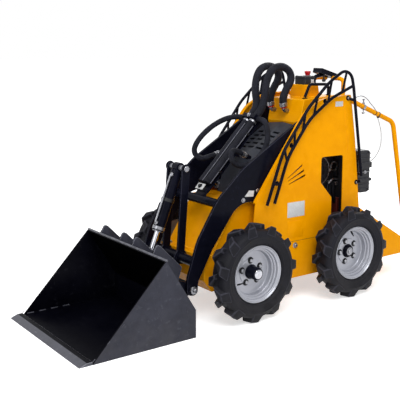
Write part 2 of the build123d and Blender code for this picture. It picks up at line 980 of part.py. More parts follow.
def make_handle():
    """Black grab handle standing on the deck along its left edge."""
    front_z = deck_height(handle_front) + handle_radius
    rear_z = deck_height(handle_rear) + seat_gap + seam
    lean = handle_rise / 2
    points = [
        (handle_front, handle_plane, front_z),
        (handle_front - lean, handle_plane, front_z + handle_rise),
        (handle_rear, handle_plane, front_z + handle_rise * 0.95),
        (handle_rear, handle_plane, rear_z),
    ]
    return tube(points, [handle_radius * 3, handle_radius * 3], handle_radius)


# Lifting arm
def arm_point(along, down):
    """Place on the arm from shares of its reach and drop."""
    return (pivot_x + along * (pin_x - pivot_x), pivot_z - down * (pivot_z - pin_z))


def make_arm():
    """Left plate arm, bored for the pivot, the lift pin and the bucket pin."""
    drop = pivot_z - pin_z
    outline = [arm_point(along, down) for along, down, _ in arm_shares]
    radii = [drop * share for _, _, share in arm_shares]
    arm = plate(outline, radii, arm_inner, arm_inner + arm_sheet)
    for x, z, radius in ((pivot_x, pivot_z, pivot_radius), (pin_x, pin_z, pin_radius)):
        arm -= cross_pin(x, z, radius + pin_gap, arm_inner - overrun, arm_inner + arm_sheet + overrun)
    boss = cross_pin(lift_head_x, lift_head_z, lift_eye_radius, arm_inner - boss_depth,
                     arm_inner + boss_depth)
    return arm.fuse(boss)


def make_cross_tubes():
    inner = arm_inner - seat_gap
    lower = cross_pin(cross_tube_x, cross_tube_z, cross_tube_radius, -inner, inner)
    upper = cross_pin(upper_tube_x, upper_tube_z, upper_tube_radius, -inner, inner)
    return Compound(children=[lower.solid(), upper.solid()])


def make_pivot_pins():
    """Arm pivot pins, from the console's side walls out to the side panels."""
    pin = cross_pin(pivot_x, pivot_z, pivot_radius, console_half_width + seat_gap,
                    frame_half_width - panel_sheet - seat_gap)
    return both_sides(pin)


def make_bucket_pins():
    pin = cross_pin(pin_x, pin_z, pin_radius, hitch_half_width - hitch_ear_sheet - sheet,
                    arm_inner + arm_sheet + sheet)
    head = cross_pin(pin_x, pin_z, pin_lobe * 0.6, arm_inner + arm_sheet + seat_gap,
                     arm_inner + arm_sheet + 2 * sheet)
    return both_sides(pin.fuse(head))


def make_tilt_bars():
    """Twin bars that stand on the lower cross tube and carry the tilt cylinder's top pin."""
    run = (tilt_top_x - cross_tube_x, tilt_top_z - cross_tube_z)
    length = hypot(*run)
    across = (bar_half_width * run[1] / length, -bar_half_width * run[0] / length)
    inner = bar_plane - bar_sheet / 2
    outer = bar_plane + bar_sheet / 2
    shank = plate([
        (cross_tube_x - across[0], cross_tube_z - across[1]),
        (tilt_top_x - across[0], tilt_top_z - across[1]),
        (tilt_top_x + across[0], tilt_top_z + across[1]),
        (cross_tube_x + across[0], cross_tube_z + across[1]),
    ], 0, inner, outer)
    bar = shank.fuse(
        cross_pin(tilt_top_x, tilt_top_z, bar_half_width, inner, outer),
        cross_pin(cross_tube_x, cross_tube_z, bar_foot_radius, inner, outer),
    )
    bar -= cross_pin(tilt_top_x, tilt_top_z, tilt_pin_radius + pin_gap, inner - overrun, outer + overrun)
    bar -= cross_pin(cross_tube_x, cross_tube_z, cross_tube_radius + seat_gap, inner - overrun,
                     outer + overrun)
    return both_sides(bar)


def make_tilt_pin():
    outer = bar_plane + bar_sheet
    return cross_pin(tilt_top_x, tilt_top_z, tilt_pin_radius, -outer, outer)


# Cylinders
def along_line(start, end):
    """Plane at the start of a line in the side view, with its normal along the line."""
    return Plane(origin=(start[0], start[2], start[1]), x_dir=(0, 1, 0),
                 z_dir=(end[0] - start[0], 0, end[1] - start[1]))


def round_bar(plane, start, end, radius):
    return extrude(plane.offset(start) * Circle(radius), amount=end - start)


def make_barrel(base, head, width, barrel_radius, rod_radius, bore, length, piston, eye_radius,
                eye_half, pin):
    """Hydraulic barrel with its base eye, bore and gland, for a given line in the side view."""
    plane = along_line((base[0], base[1], width), head)
    body = round_bar(plane, eye_radius * 0.7, length, barrel_radius)
    body = body.fuse(cross_pin(base[0], base[1], eye_radius, width - eye_half, width + eye_half))
    body -= round_bar(plane, eye_radius + sheet, length - gland_depth, bore)
    body -= round_bar(plane, length - 2 * gland_depth, length + overrun, rod_radius + seat_gap)
    body -= cross_pin(base[0], base[1], pin + pin_gap, width - eye_half - overrun,
                      width + eye_half + overrun)
    return body


def make_rod(base, head, width, barrel_radius, rod_radius, bore, length, piston, eye_radius,
             eye_half, pin, pin_ends):
    """Piston rod with its piston inside the barrel and its eye and pin at the far end."""
    reach = hypot(head[0] - base[0], head[1] - base[1])
    plane = along_line((base[0], base[1], width), head)
    rod = round_bar(plane, piston, reach, rod_radius)
    head_disc = round_bar(plane, piston, piston + bore, bore - seat_gap)
    eye = cross_pin(head[0], head[1], eye_radius, width - eye_half, width + eye_half)
    through = cross_pin(head[0], head[1], pin, *pin_ends)
    return rod.fuse(head_disc, eye, through)


def tilt_values():
    return dict(base=(tilt_top_x, tilt_top_z), head=(tilt_eye_x, tilt_eye_z), width=0,
                barrel_radius=tilt_barrel_radius, rod_radius=tilt_rod_radius, bore=tilt_bore,
                length=tilt_barrel_length, piston=tilt_piston, eye_radius=tilt_eye_radius,
                eye_half=tilt_eye_half_width, pin=tilt_pin_radius)


def lift_values():
    return dict(base=(lift_base_x, lift_base_z), head=(lift_head_x, lift_head_z), width=lift_plane,
                barrel_radius=lift_barrel_radius, rod_radius=lift_rod_radius, bore=lift_bore,
                length=lift_barrel_length, piston=lift_piston, eye_radius=lift_eye_radius,
                eye_half=lift_eye_half_width, pin=lift_pin_radius)


def make_lift_pins():
    """Pins of the lift cylinders' lower eyes, through the lugs on the frame's floor."""
    reach = lift_eye_half_width + 2 * lift_lug_sheet
    pin = cross_pin(lift_base_x, lift_base_z, lift_pin_radius, lift_plane - reach, lift_plane + reach)
    return both_sides(pin)


# Bucket and hitch
def back_point(along, behind):
    """Place by the bucket's sloping back: a share up its length and a distance behind it."""
    dx = bucket_top_x - bucket_back_x
    dz = bucket_top_z - bucket_back_z
    length = hypot(dx, dz)
    return (bucket_back_x + along * dx - behind * dz / length,
            bucket_back_z + along * dz + behind * dx / length)


def make_bucket():
    """Bucket shell: floor, back and sides, open in front, with four gussets behind its top edge."""
    outline = [
        (lip_x - edge_depth, 0),
        (bucket_back_x, 0),
        (bucket_back_x, bucket_back_z),
        (bucket_top_x, bucket_top_z),
    ]
    shell = plate(outline, 0, -bucket_half_width, bucket_half_width)
    room = [
        (lip_x + edge_depth, bucket_sheet),
        (bucket_back_x + bucket_sheet, bucket_sheet),
        (bucket_back_x + bucket_sheet, bucket_back_z - bucket_sheet / 2),
        (bucket_top_x + bucket_sheet, bucket_top_z - bucket_sheet / 2),
        (lip_x + edge_depth, bucket_top_z),
    ]
    shell -= plate(room, 0, -bucket_half_width + bucket_sheet, bucket_half_width - bucket_sheet)
    for share in gusset_shares:
        middle = share * bucket_half_width
        gusset = plate([
            back_point(1, 0),
            (bucket_top_x - gusset_length * 0.35, bucket_top_z + gusset_height),
            back_point(1 - gusset_length / bucket_top_z, 0),
        ], 0, middle - gusset_sheet / 2, middle + gusset_sheet / 2)
        shell = shell.fuse(gusset)
    return shell


def make_cutting_edge():
    """Bevelled wear strip in front of the bucket's floor."""
    return plate([
        (lip_x, 0),
        (lip_x - edge_depth + seat_gap, 0),
        (lip_x - edge_depth + seat_gap, edge_thickness),
        (lip_x - edge_depth * 0.6, edge_thickness),
    ], 0, -bucket_half_width, bucket_half_width)


def make_hitch():
    """Hitch plate behind the bucket, with ears for the arm pins and for the tilt cylinder's rod."""
    board = plate([
        back_point(0, seat_gap), back_point(board_share, seat_gap),
        back_point(board_share, hitch_sheet), back_point(0, hitch_sheet),
    ], 0, -hitch_half_width, hitch_half_width)
    ear = plate([
        back_point(0, seat_gap),
        back_point(ear_share, seat_gap),
        (pin_x, pin_z + pin_lobe),
        (pin_x - pin_lobe, pin_z),
        (pin_x, pin_z - pin_lobe),
    ], [0, 0, pin_lobe / 2, pin_lobe / 2, pin_lobe / 2], hitch_half_width - hitch_ear_sheet, hitch_half_width)
    ear -= cross_pin(pin_x, pin_z, pin_radius + pin_gap, 0, hitch_half_width + overrun)
    upper = plate([
        back_point(rod_ear_shares[0], seat_gap),
        back_point(rod_ear_shares[1], seat_gap),
        (tilt_eye_x, tilt_eye_z + tilt_eye_radius),
        (tilt_eye_x - tilt_eye_radius, tilt_eye_z),
        (tilt_eye_x, tilt_eye_z - tilt_eye_radius),
    ], [0, 0, tilt_eye_radius / 2, tilt_eye_radius / 2, tilt_eye_radius / 2],
        tilt_ear_inner, tilt_ear_inner + hitch_ear_sheet)
    upper -= cross_pin(tilt_eye_x, tilt_eye_z, tilt_pin_radius + pin_gap, 0, 4 * tilt_ear_inner)
    board -= plate([
        back_point(window_shares[0], -overrun), back_point(window_shares[1], -overrun),
        back_point(window_shares[1], hitch_sheet + overrun), back_point(window_shares[0], hitch_sheet + overrun),
    ], 0, -tilt_ear_inner, tilt_ear_inner)
    return board.fuse(*both_sides(ear).solids(), *both_sides(upper).solids())


# Hoses, their carrier and the cable
def bundle_direction():
    """Unit direction of the sleeved hoses, down along the arms, and the direction under them."""
    dx = bundle_end[0] - collar[0]
    dz = bundle_end[1] - collar[1]
    length = hypot(dx, dz)
    return (dx / length, dz / length), (dz / length, -dx / length), length


def make_hose_carrier():
    """Channel under the sleeved hoses with a post down to the upper cross tube."""
    (dx, dz), (ux, uz), length = bundle_direction()
    top = sleeve_radius + 2 * seat_gap
    foot = top + carrier_sheet
    reach = length + 2 * sleeve_radius
    inner = min(bundle_widths.values()) - sleeve_radius - carrier_margin
    outer = max(bundle_widths.values()) + sleeve_radius + carrier_margin

    def at(along, under):
        return (collar[0] + along * dx + under * ux, collar[1] + along * dz + under * uz)

    strip = plate([at(0, top), at(reach, top), at(reach, foot), at(0, foot)], 0, inner, outer)
    post = plate([
        at(reach - 3 * carrier_sheet, top + carrier_sheet / 2),
        at(reach, top + carrier_sheet / 2),
        (upper_tube_x + carrier_sheet, upper_tube_z),
        (upper_tube_x - carrier_sheet, upper_tube_z),
    ], 0, inner, outer)
    post -= cross_pin(upper_tube_x, upper_tube_z, upper_tube_radius + seat_gap, inner - overrun,
                      outer + overrun)
    rise = -sleeve_radius - collar_wall
    clamp = plate([at(0, rise), at(collar_length, rise), at(collar_length, top), at(0, top)], 0,
                  inner + carrier_margin - collar_wall, outer - carrier_margin + collar_wall)
    for width in bundle_widths.values():
        start = at(-overrun, 0)
        plane = Plane(origin=(start[0], width, start[1]), x_dir=(0, 1, 0), z_dir=(dx, 0, dz))
        clamp -= extrude(plane * Circle(sleeve_radius + seat_gap), amount=collar_length + 2 * overrun)
    bracket = cross_pin(bracket_x, bracket_z, bracket_radius, -bracket_reach, bracket_reach)
    couplers = []
    for points in side_hose_points.values():
        x, y, z = points[-1]
        plane = along_line((bracket_x, bracket_z, y), (x, z))
        couplers.append(round_bar(plane, 0, hypot(x - bracket_x, z - bracket_z) - seat_gap, coupler_radius))
    return strip.fuse(post, clamp, bracket, *couplers)


def make_bundle(name):
    """One straight sleeved hose along the carrier."""
    direction, _, length = bundle_direction()
    start = (collar[0], bundle_widths[name], collar[1])
    plane = Plane(origin=start, x_dir=(0, 1, 0), z_dir=(direction[0], 0, direction[1]))
    return extrude(plane * Circle(sleeve_radius), amount=length)


def corner_radii(points):
    """Arc radius at each corner of a route: 0.45 of the shorter run over tan of half the turn."""
    radii = []
    for before, here, after in zip(points, points[1:], points[2:]):
        first = Vector(*here) - Vector(*before)
        second = Vector(*after) - Vector(*here)
        half_turn = radians(first.get_angle(second)) / 2
        radii.append(0.45 * min(first.length, second.length) * cos(half_turn) / sin(half_turn))
    return radii


def make_cord(name, points, radius):
    """Tube along a route of straight runs joined by arcs."""
    radii = corner_radii(points)
    print(name, "corner radii, mm:", [round(value) for value in radii])
    return tube(points, radii, radius)


def cable_points():
    """The cable's route, from the rail down and in to the engine."""
    return [(x, rail_plane * share, z) for x, share, z in cable_shares]


def make_fittings():
    """Silver hose ends that stand on the console's front plate and turn up."""
    lean = console_front_top_x - console_front_bottom_x
    rise = console_front_top_z - console_front_bottom_z
    length = hypot(lean, rise)
    share = (fitting_height - console_front_bottom_z) / rise
    foot = (console_front_bottom_x + share * lean + seat_gap * rise / length,
            fitting_height - seat_gap * lean / length)
    out = (foot[0] + fitting_reach * rise / length, foot[1] - fitting_reach * lean / length)
    pieces = []
    for points in loop_points.values():
        width = points[0][1]
        end = (points[0][0], width, points[0][2] - 2 * seat_gap)
        pieces.append(tube([(foot[0], width, foot[1]), (out[0], width, out[1]), end],
                           [fitting_radius], fitting_radius))
    return Compound(children=[piece.solid() for piece in pieces])


def make_parts():
    panel = make_panel()
    guard = make_guard()
    rail = make_rail()
    arm = make_arm()
    barrel = make_barrel(**lift_values())
    rod = make_rod(
        pin_ends=(lift_plane - lift_eye_half_width, arm_inner - boss_depth - seat_gap),
        **lift_values(),
    )
    tilt_rod = make_rod(
        pin_ends=(seat_gap - tilt_ear_inner, tilt_ear_inner - seat_gap),
        **tilt_values(),
    )
    parts = {
        "chassis_frame": make_frame(),
        "front_nose": make_nose(),
        "side_panel_left": panel,
        "side_panel_right": mirror(panel, about=Plane.XZ),
        "console_tower": make_console(),
        "grille": make_grille(),
        "engine": make_engine(),
        "muffler": make_muffler(),
        "arm_guard_left": guard,
        "arm_guard_right": mirror(guard, about=Plane.XZ),
        "operator_rail_left": rail,
        "operator_rail_right": mirror(rail, about=Plane.XZ),
        "rear_step": make_step(),
        "control_box": make_control_box(),
        "battery_switch": make_switch(),
        "lever_guard": make_lever_guard(),
        "grab_handle": make_handle(),
        "drive_motors": make_motors(),
        "chassis_pins": Compound(children=[*make_pivot_pins().solids(), *make_lift_pins().solids()]),
        "hose_fittings": make_fittings(),
        "throttle_cable": make_cord("throttle_cable", cable_points(), cable_radius),
        "arm_left": arm,
        "arm_right": mirror(arm, about=Plane.XZ),
        "arm_cross_tubes": make_cross_tubes(),
        "tilt_bars": make_tilt_bars(),
        "arm_pins": Compound(children=[*make_bucket_pins().solids(), make_tilt_pin().solid()]),
        "hose_carrier": make_hose_carrier(),
        "tilt_barrel": make_barrel(**tilt_values()),
        "tilt_rod": tilt_rod,
        "lift_barrels": both_sides(barrel),
        "lift_rods": both_sides(rod),
        "hitch_plate": make_hitch(),
        "bucket_shell": make_bucket(),
        "cutting_edge": make_cutting_edge(),
    }
    for name in loop_points:
        for piece, routes, radius in (("hose_loop", loop_points, sleeve_radius),
                                      ("side_hose", side_hose_points, side_hose_radius)):
            parts[f"{piece}_{name}"] = make_cord(f"{piece}_{name}", routes[name], radius)
    bundles = [make_bundle(name) for name in bundle_widths]
    parts["hose_bundles"] = Compound(children=[bundle.solid() for bundle in bundles])
    tyre = make_tyre()
    rim = make_rim()
    for end, x, face in (("front", wheelbase / 2, front_hub_face), ("rear", -wheelbase / 2, rear_hub_face)):
        hub = make_hub(face)
        for name, side in (("left", 1), ("right", -1)):
            parts[f"tyre_{end}_{name}"] = place_wheel(tyre, x, side)
            parts[f"rim_{end}_{name}"] = place_wheel(rim, x, side)
            parts[f"hub_{end}_{name}"] = place_wheel(hub, x, side)
    return parts


def write_parts():
    """Write every piece, moved so that the origin lies below the middle of the whole length."""
    os.makedirs("parts", exist_ok=True)
    middle = (lip_x + step_rear) / 2
    for name, shape in make_parts().items():
        solids = [Pos(-middle, 0, 0) * solid for solid in shape.solids()]
        whole = solids[0] if len(solids) == 1 else Compound(children=solids)
        export_step(whole, f"parts/{name}.step")


write_parts()
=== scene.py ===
"""A small four-wheeled loader with a wide bucket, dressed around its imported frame.

Pieces are modelled in millimetres from the floor midway between the axles, +X forward, +Y to the
machine's left and +Z up, and each is moved once, as it is finished, into the frame's metres.
"""
import json
from math import atan2, ceil, cos, pi, radians, sin

import bmesh
import bpy
from mathutils import Matrix, Vector
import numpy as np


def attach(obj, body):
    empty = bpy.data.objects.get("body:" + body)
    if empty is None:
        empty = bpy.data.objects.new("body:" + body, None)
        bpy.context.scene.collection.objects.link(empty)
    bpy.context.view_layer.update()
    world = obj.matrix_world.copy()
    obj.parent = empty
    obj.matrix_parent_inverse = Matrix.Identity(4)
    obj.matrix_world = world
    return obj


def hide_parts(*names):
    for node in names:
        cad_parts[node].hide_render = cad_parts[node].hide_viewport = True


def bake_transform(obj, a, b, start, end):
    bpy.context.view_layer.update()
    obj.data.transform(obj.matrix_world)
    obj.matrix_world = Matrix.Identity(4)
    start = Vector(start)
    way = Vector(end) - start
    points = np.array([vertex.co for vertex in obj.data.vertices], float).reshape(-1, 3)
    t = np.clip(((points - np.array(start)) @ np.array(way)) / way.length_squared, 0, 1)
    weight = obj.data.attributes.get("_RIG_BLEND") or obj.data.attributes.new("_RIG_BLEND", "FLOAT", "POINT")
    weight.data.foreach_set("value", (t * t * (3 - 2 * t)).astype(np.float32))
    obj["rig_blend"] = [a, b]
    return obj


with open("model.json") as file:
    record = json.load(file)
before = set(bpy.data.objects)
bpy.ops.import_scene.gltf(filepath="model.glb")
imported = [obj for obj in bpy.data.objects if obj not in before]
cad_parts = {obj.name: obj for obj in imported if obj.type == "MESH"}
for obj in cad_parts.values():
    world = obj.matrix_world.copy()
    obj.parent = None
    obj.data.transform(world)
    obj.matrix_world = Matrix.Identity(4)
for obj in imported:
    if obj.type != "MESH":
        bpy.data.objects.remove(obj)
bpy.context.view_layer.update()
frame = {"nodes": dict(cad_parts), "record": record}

MM = 0.001
# the frame's origin lies this far ahead of the middle of the axles
ORIGIN_AHEAD = 143.5
TO_FRAME = Matrix.Scale(MM, 4) @ Matrix.Translation((-ORIGIN_AHEAD, 0, 0))
X, Y, Z = Vector((1, 0, 0)), Vector((0, 1, 0)), Vector((0, 0, 1))
SIDES = {"left": 1, "right": -1}


# Shader nodes
def node(tree, kind, inputs=None, **settings):
    """A node with its settings, and its inputs given as values or as the sockets that feed them."""
    made = tree.nodes.new(kind)
    for key, value in settings.items():
        setattr(made, key, value)
    for key, value in (inputs or {}).items():
        if isinstance(value, bpy.types.NodeSocket):
            tree.links.new(value, made.inputs[key])
        else:
            made.inputs[key].default_value = value
    return made


def maths(tree, operation, first, second=0.0, third=0.0):
    inputs = {0: first, 1: second, 2: third}
    return node(tree, "ShaderNodeMath", inputs, operation=operation).outputs[0]


def ranged(tree, value, low, high, to_low=0.0, to_high=1.0):
    inputs = {"Value": value, "From Min": low, "From Max": high, "To Min": to_low, "To Max": to_high}
    return node(tree, "ShaderNodeMapRange", inputs).outputs[0]


def mixed(tree, factor, first, second):
    """Two colours mixed, by the places of the mix node's colour sockets."""
    return node(tree, "ShaderNodeMix", {0: factor, 6: first, 7: second}, data_type="RGBA").outputs[2]


# Camera, floor and light
CAMERA_PLACE = (2.39810, 3.10821, 1.29914)
CAMERA_HEADING = -127.2565
CAMERA_PITCH = -10.0716
CAMERA_ROLL = 0.2756
CAMERA_LENS = 69.640
CAMERA_SHIFT = (-0.08528, -0.04363)
FLOOR_REACH = 60
FLOOR_TONE = 0.86
FLOOR_GLOW = 0.55
WORLD_FILL = 0.58
LAMPS = [
    # name, place, size, watts, what it points at
    ("key", (1.6, 3.2, 4.6), 3.2, 200, (0.1, 0.0, 0.5)),
    ("front", (4.6, 0.6, 2.2), 2.4, 50, (0.2, 0.0, 0.5)),
    ("back", (-3.6, -2.4, 3.2), 2.6, 90, (-0.2, 0.0, 0.7)),
]


def make_camera():
    heading, pitch, roll = radians(CAMERA_HEADING), radians(CAMERA_PITCH), radians(CAMERA_ROLL)
    ahead = Vector((cos(pitch) * cos(heading), cos(pitch) * sin(heading), sin(pitch)))
    level_right = ahead.cross(Z).normalized()
    level_up = level_right.cross(ahead)
    right = cos(roll) * level_right + sin(roll) * level_up
    up = cos(roll) * level_up - sin(roll) * level_right
    camera = bpy.data.objects.new("camera", bpy.data.cameras.new("camera"))
    camera.matrix_world = Matrix.Translation(CAMERA_PLACE) @ Matrix((right, up, -ahead)).transposed().to_4x4()
    camera.data.lens = CAMERA_LENS
    camera.data.sensor_width = 36
    camera.data.shift_x, camera.data.shift_y = CAMERA_SHIFT
    camera.data.clip_end = 2 * FLOOR_REACH
    bpy.context.scene.collection.objects.link(camera)
    bpy.context.scene.camera = camera


def make_lamps():
    for name, place, size, watts, aim_at in LAMPS:
        lamp = bpy.data.objects.new(name, bpy.data.lights.new(name, "AREA"))
        lamp.data.size = size
        lamp.data.energy = watts
        lamp.location = place
        lamp.rotation_euler = (Vector(aim_at) - Vector(place)).to_track_quat("-Z", "Y").to_euler()
        bpy.context.scene.collection.objects.link(lamp)


def seen_directly(tree):
    """One where the camera, a reflection or glass looks, and nought for the light on the object."""
    rays = node(tree, "ShaderNodeLightPath").outputs
    seen = maths(tree, "MAXIMUM", rays["Is Camera Ray"], rays["Is Glossy Ray"])
    return maths(tree, "MAXIMUM", seen, rays["Is Transmission Ray"])


def make_world():
    """White where it is seen, and a plain even fill for everything else."""
    world = bpy.data.worlds.new("studio")
    bpy.context.scene.world = world
    world.use_nodes = True
    tree = world.node_tree
    tree.nodes.clear()
    strength = ranged(tree, seen_directly(tree), 0.0, 1.0, WORLD_FILL, 1.0)
    sky = node(tree, "ShaderNodeBackground", {"Color": (1, 1, 1, 1), "Strength": strength})
    node(tree, "ShaderNodeOutputWorld", {"Surface": sky.outputs[0]})


def make_floor():
    """A pale floor that glows towards white where it is seen, and keeps the object's shadow."""
    shape = bmesh.new()
    bmesh.ops.create_grid(shape, x_segments=1, y_segments=1, size=FLOOR_REACH)
    mesh = bpy.data.meshes.new("floor")
    shape.to_mesh(mesh)
    shape.free()
    floor = bpy.data.objects.new("floor", mesh)
    bpy.context.scene.collection.objects.link(floor)
    material = bpy.data.materials.new("floor")
    material.use_nodes = True
    tree = material.node_tree
    tree.nodes.clear()
    diffuse = node(tree, "ShaderNodeBsdfDiffuse", {"Color": (FLOOR_TONE, FLOOR_TONE, FLOOR_TONE, 1)})
    strength = maths(tree, "MULTIPLY", seen_directly(tree), FLOOR_GLOW)
    glow = node(tree, "ShaderNodeEmission", {"Strength": strength})
    both = node(tree, "ShaderNodeAddShader", {0: diffuse.outputs[0], 1: glow.outputs[0]})
    node(tree, "ShaderNodeOutputMaterial", {"Surface": both.outputs[0]})
    mesh.materials.append(material)


make_camera()
make_lamps()
make_world()
make_floor()
bpy.context.scene.view_settings.view_transform = "Standard"


# Finishes
def noise(tree, place, scale, detail=2.0, stretch=None):
    if stretch:
        place = node(tree, "ShaderNodeMapping", {"Vector": place, "Scale": stretch}).outputs[0]
    return node(tree, "ShaderNodeTexNoise", {"Vector": place, "Scale": scale, "Detail": detail}).outputs[0]


def effect(name, inputs, outputs, build):
    """A shared node group: sockets from names to kinds, filled in by a function."""
    group = bpy.data.node_groups.new(name, "ShaderNodeTree")
    for label, kind in inputs.items():
        group.interface.new_socket(name=label, in_out="INPUT", socket_type=f"NodeSocket{kind}")
    for label in outputs:
        group.interface.new_socket(name=label, in_out="OUTPUT", socket_type="NodeSocketFloat")
    given = group.nodes.new("NodeGroupInput").outputs
    result = group.nodes.new("NodeGroupOutput").inputs
    for label, socket in build(group, given).items():
        group.links.new(socket, result[label])
    return group


def build_mottle(tree, given):
    """Broad soft variation of a finish, and finer blotches in it."""
    broad = node(tree, "ShaderNodeTexNoise", {"Vector": given["Place"], "Scale": given["Scale"], "Detail": 3})
    fine_scale = maths(tree, "MULTIPLY", given["Scale"], 9)
    fine = node(tree, "ShaderNodeTexNoise", {"Vector": given["Place"], "Scale": fine_scale, "Detail": 4})
    both = maths(tree, "MULTIPLY_ADD", fine.outputs[0], 0.4, maths(tree, "MULTIPLY", broad.outputs[0], 0.6))
    return {"Mask": ranged(tree, both, 0.38, 0.62)}


def build_peel(tree, given):
    """Fine unevenness of sprayed paint, a casting or moulded plastic."""
    fine = node(tree, "ShaderNodeTexNoise", {"Vector": given["Place"], "Scale": given["Scale"], "Detail": 2})
    return {"Height": fine.outputs[0]}


def build_grime(tree, given):
    """Dust that thins out with height above the floor, broken up by patches."""
    height = node(tree, "ShaderNodeSeparateXYZ", {0: given["Place"]}).outputs[2]
    fall = ranged(tree, maths(tree, "DIVIDE", height, given["Reach"]), 0.0, 1.0, 1.0, 0.0)
    patches = noise(tree, given["Place"], 14, 5)
    patchy = maths(tree, "MULTIPLY", fall, ranged(tree, patches, 0.35, 0.7, 0.15, 1.0))
    return {"Mask": patchy}


def build_scuffs(tree, given):
    """Short thin scratches in two directions, and small chips."""
    first = noise(tree, given["Place"], 26, 3, (1, 7, 1.5))
    second = noise(tree, given["Place"], 21, 3, (6, 1, 2))
    lines = maths(tree, "MAXIMUM", ranged(tree, first, 0.64, 0.70), ranged(tree, second, 0.66, 0.71))
    chips = ranged(tree, noise(tree, given["Place"], 90, 4), 0.60, 0.66)
    return {"Lines": lines, "Chips": chips}


def build_weave(tree, given):
    """Braid of crossing strands, from a hose's length along and its share of the way round."""
    place = node(tree, "ShaderNodeSeparateXYZ", {0: given["Along and round"]})
    along = maths(tree, "MULTIPLY", place.outputs[0], given["Strands a metre"])
    around = maths(tree, "MULTIPLY", place.outputs[1], given["Strands round"])
    one = maths(tree, "SINE", maths(tree, "MULTIPLY", maths(tree, "ADD", along, around), 2 * pi))
    other = maths(tree, "SINE", maths(tree, "MULTIPLY", maths(tree, "SUBTRACT", along, around), 2 * pi))
    return {"Height": ranged(tree, maths(tree, "MULTIPLY", one, other), -1.0, 1.0)}


MOTTLE = effect("mottle", {"Place": "Vector", "Scale": "Float"}, ["Mask"], build_mottle)
PEEL = effect("peel", {"Place": "Vector", "Scale": "Float"}, ["Height"], build_peel)
GRIME = effect("grime", {"Place": "Vector", "Reach": "Float"}, ["Mask"], build_grime)
SCUFFS = effect("scuffs", {"Place": "Vector"}, ["Lines", "Chips"], build_scuffs)
WEAVE = effect("weave", {"Along and round": "Vector", "Strands a metre": "Float", "Strands round": "Float"},
               ["Height"], build_weave)


def placed(tree, group, inputs):
    return node(tree, "ShaderNodeGroup", inputs, node_tree=group).outputs


def tone(code):
    """A colour written as on a paint card, as the linear values that shaders take."""
    shares = [int(code[start:start + 2], 16) / 255 for start in (1, 3, 5)]
    return (*[share / 12.92 if share < 0.04045 else ((share + 0.055) / 1.055) ** 2.4 for share in shares], 1)


DUST_TONE = tone("#9a948a")
# how much rougher a surface is where it is worn, and where dust lies on it
WORN_ROUGHER, DUST_ROUGHER = 0.12, 0.3


def finish(name, slot, light, dark, rough, mottle, peel, metallic=0.0, specular=0.5, dust=0.0,
           dust_reach=0.5, scuffs=0.0, edge=None, weave=None):
    """A surface: two close tones, a range of roughness, fine relief, dust, scratches, and edges lightened by wear
    and a painted highlight.
    """
    material = bpy.data.materials.new(name)
    material.use_nodes = True
    material["slot"] = slot
    tree = material.node_tree
    shader = tree.nodes["Principled BSDF"]
    place = tree.nodes.new("ShaderNodeTexCoord").outputs
    spot = place["Object"]
    mask = placed(tree, MOTTLE, {"Place": spot, "Scale": mottle})["Mask"]
    colour = mixed(tree, mask, tone(dark), tone(light))
    roughness = ranged(tree, mask, 0.0, 1.0, rough[0], rough[1])
    peel_scale, peel_height = peel
    height = placed(tree, PEEL, {"Place": spot, "Scale": peel_scale})["Height"]
    if weave:
        pattern = {"Along and round": place["UV"], "Strands a metre": weave[0], "Strands round": weave[1]}
        height = placed(tree, WEAVE, pattern)["Height"]
        colour = mixed(tree, height, tone(dark), colour)
    # rounded edges take a lighter tone, partly worn paint and partly a painted highlight, broken by chips
    if edge:
        edge_wear_and_highlight_tone, edge_share = edge
        marks = placed(tree, SCUFFS, {"Place": spot})
        worn_and_highlit = maths(tree, "MULTIPLY", marks["Lines"], scuffs)
        rim = node(tree, "ShaderNodeAttribute", attribute_name="edge").outputs["Fac"]
        share = ranged(tree, marks["Chips"], 0.0, 1.0, edge_share, 1.0)
        worn_and_highlit = maths(tree, "MAXIMUM", worn_and_highlit, maths(tree, "MULTIPLY", rim, share))
        colour = mixed(tree, worn_and_highlit, colour, tone(edge_wear_and_highlight_tone))
        roughness = maths(tree, "MULTIPLY_ADD", worn_and_highlit, WORN_ROUGHER, roughness)
    if dust:
        settled = placed(tree, GRIME, {"Place": spot, "Reach": dust_reach})["Mask"]
        settled = maths(tree, "MULTIPLY", settled, dust)
        colour = mixed(tree, settled, colour, DUST_TONE)
        roughness = maths(tree, "MULTIPLY_ADD", settled, DUST_ROUGHER, roughness)
    bump = node(tree, "ShaderNodeBump", {"Height": height, "Distance": peel_height, "Strength": 1.0})
    tree.links.new(bump.outputs[0], shader.inputs["Normal"])
    tree.links.new(colour, shader.inputs["Base Color"])
    tree.links.new(roughness, shader.inputs["Roughness"])
    shader.inputs["Metallic"].default_value = metallic
    shader.inputs["Specular IOR Level"].default_value = specular
    return material


# each: its slot, light and dark tones, range of roughness, size of its mottle, scale and height of its peel
# edge: the tone of rounded edges, lighter for wear and a painted highlight, and the least share of them it covers
YELLOW = finish("yellow_paint", "yellow_paint", "#f2a200", "#e79600", (0.24, 0.34), 2.2, (420, 0.00012),
                specular=0.04, dust=0.05, dust_reach=0.3, edge=("#ffc02a", 0.45))
BLACK = finish("black_paint", "black_paint", "#10111d", "#0a0b15", (0.2, 0.32), 4.0, (380, 0.00012),
               specular=0.05, dust=0.02, dust_reach=0.3, edge=("#464756", 0.4))
CHARCOAL = finish("charcoal_paint", "charcoal_paint", "#383943", "#2f3039", (0.34, 0.46), 5.0, (260, 0.0002),
                  specular=0.12, dust=0.06, dust_reach=0.2, scuffs=0.06, edge=("#8e8f98", 0.5))
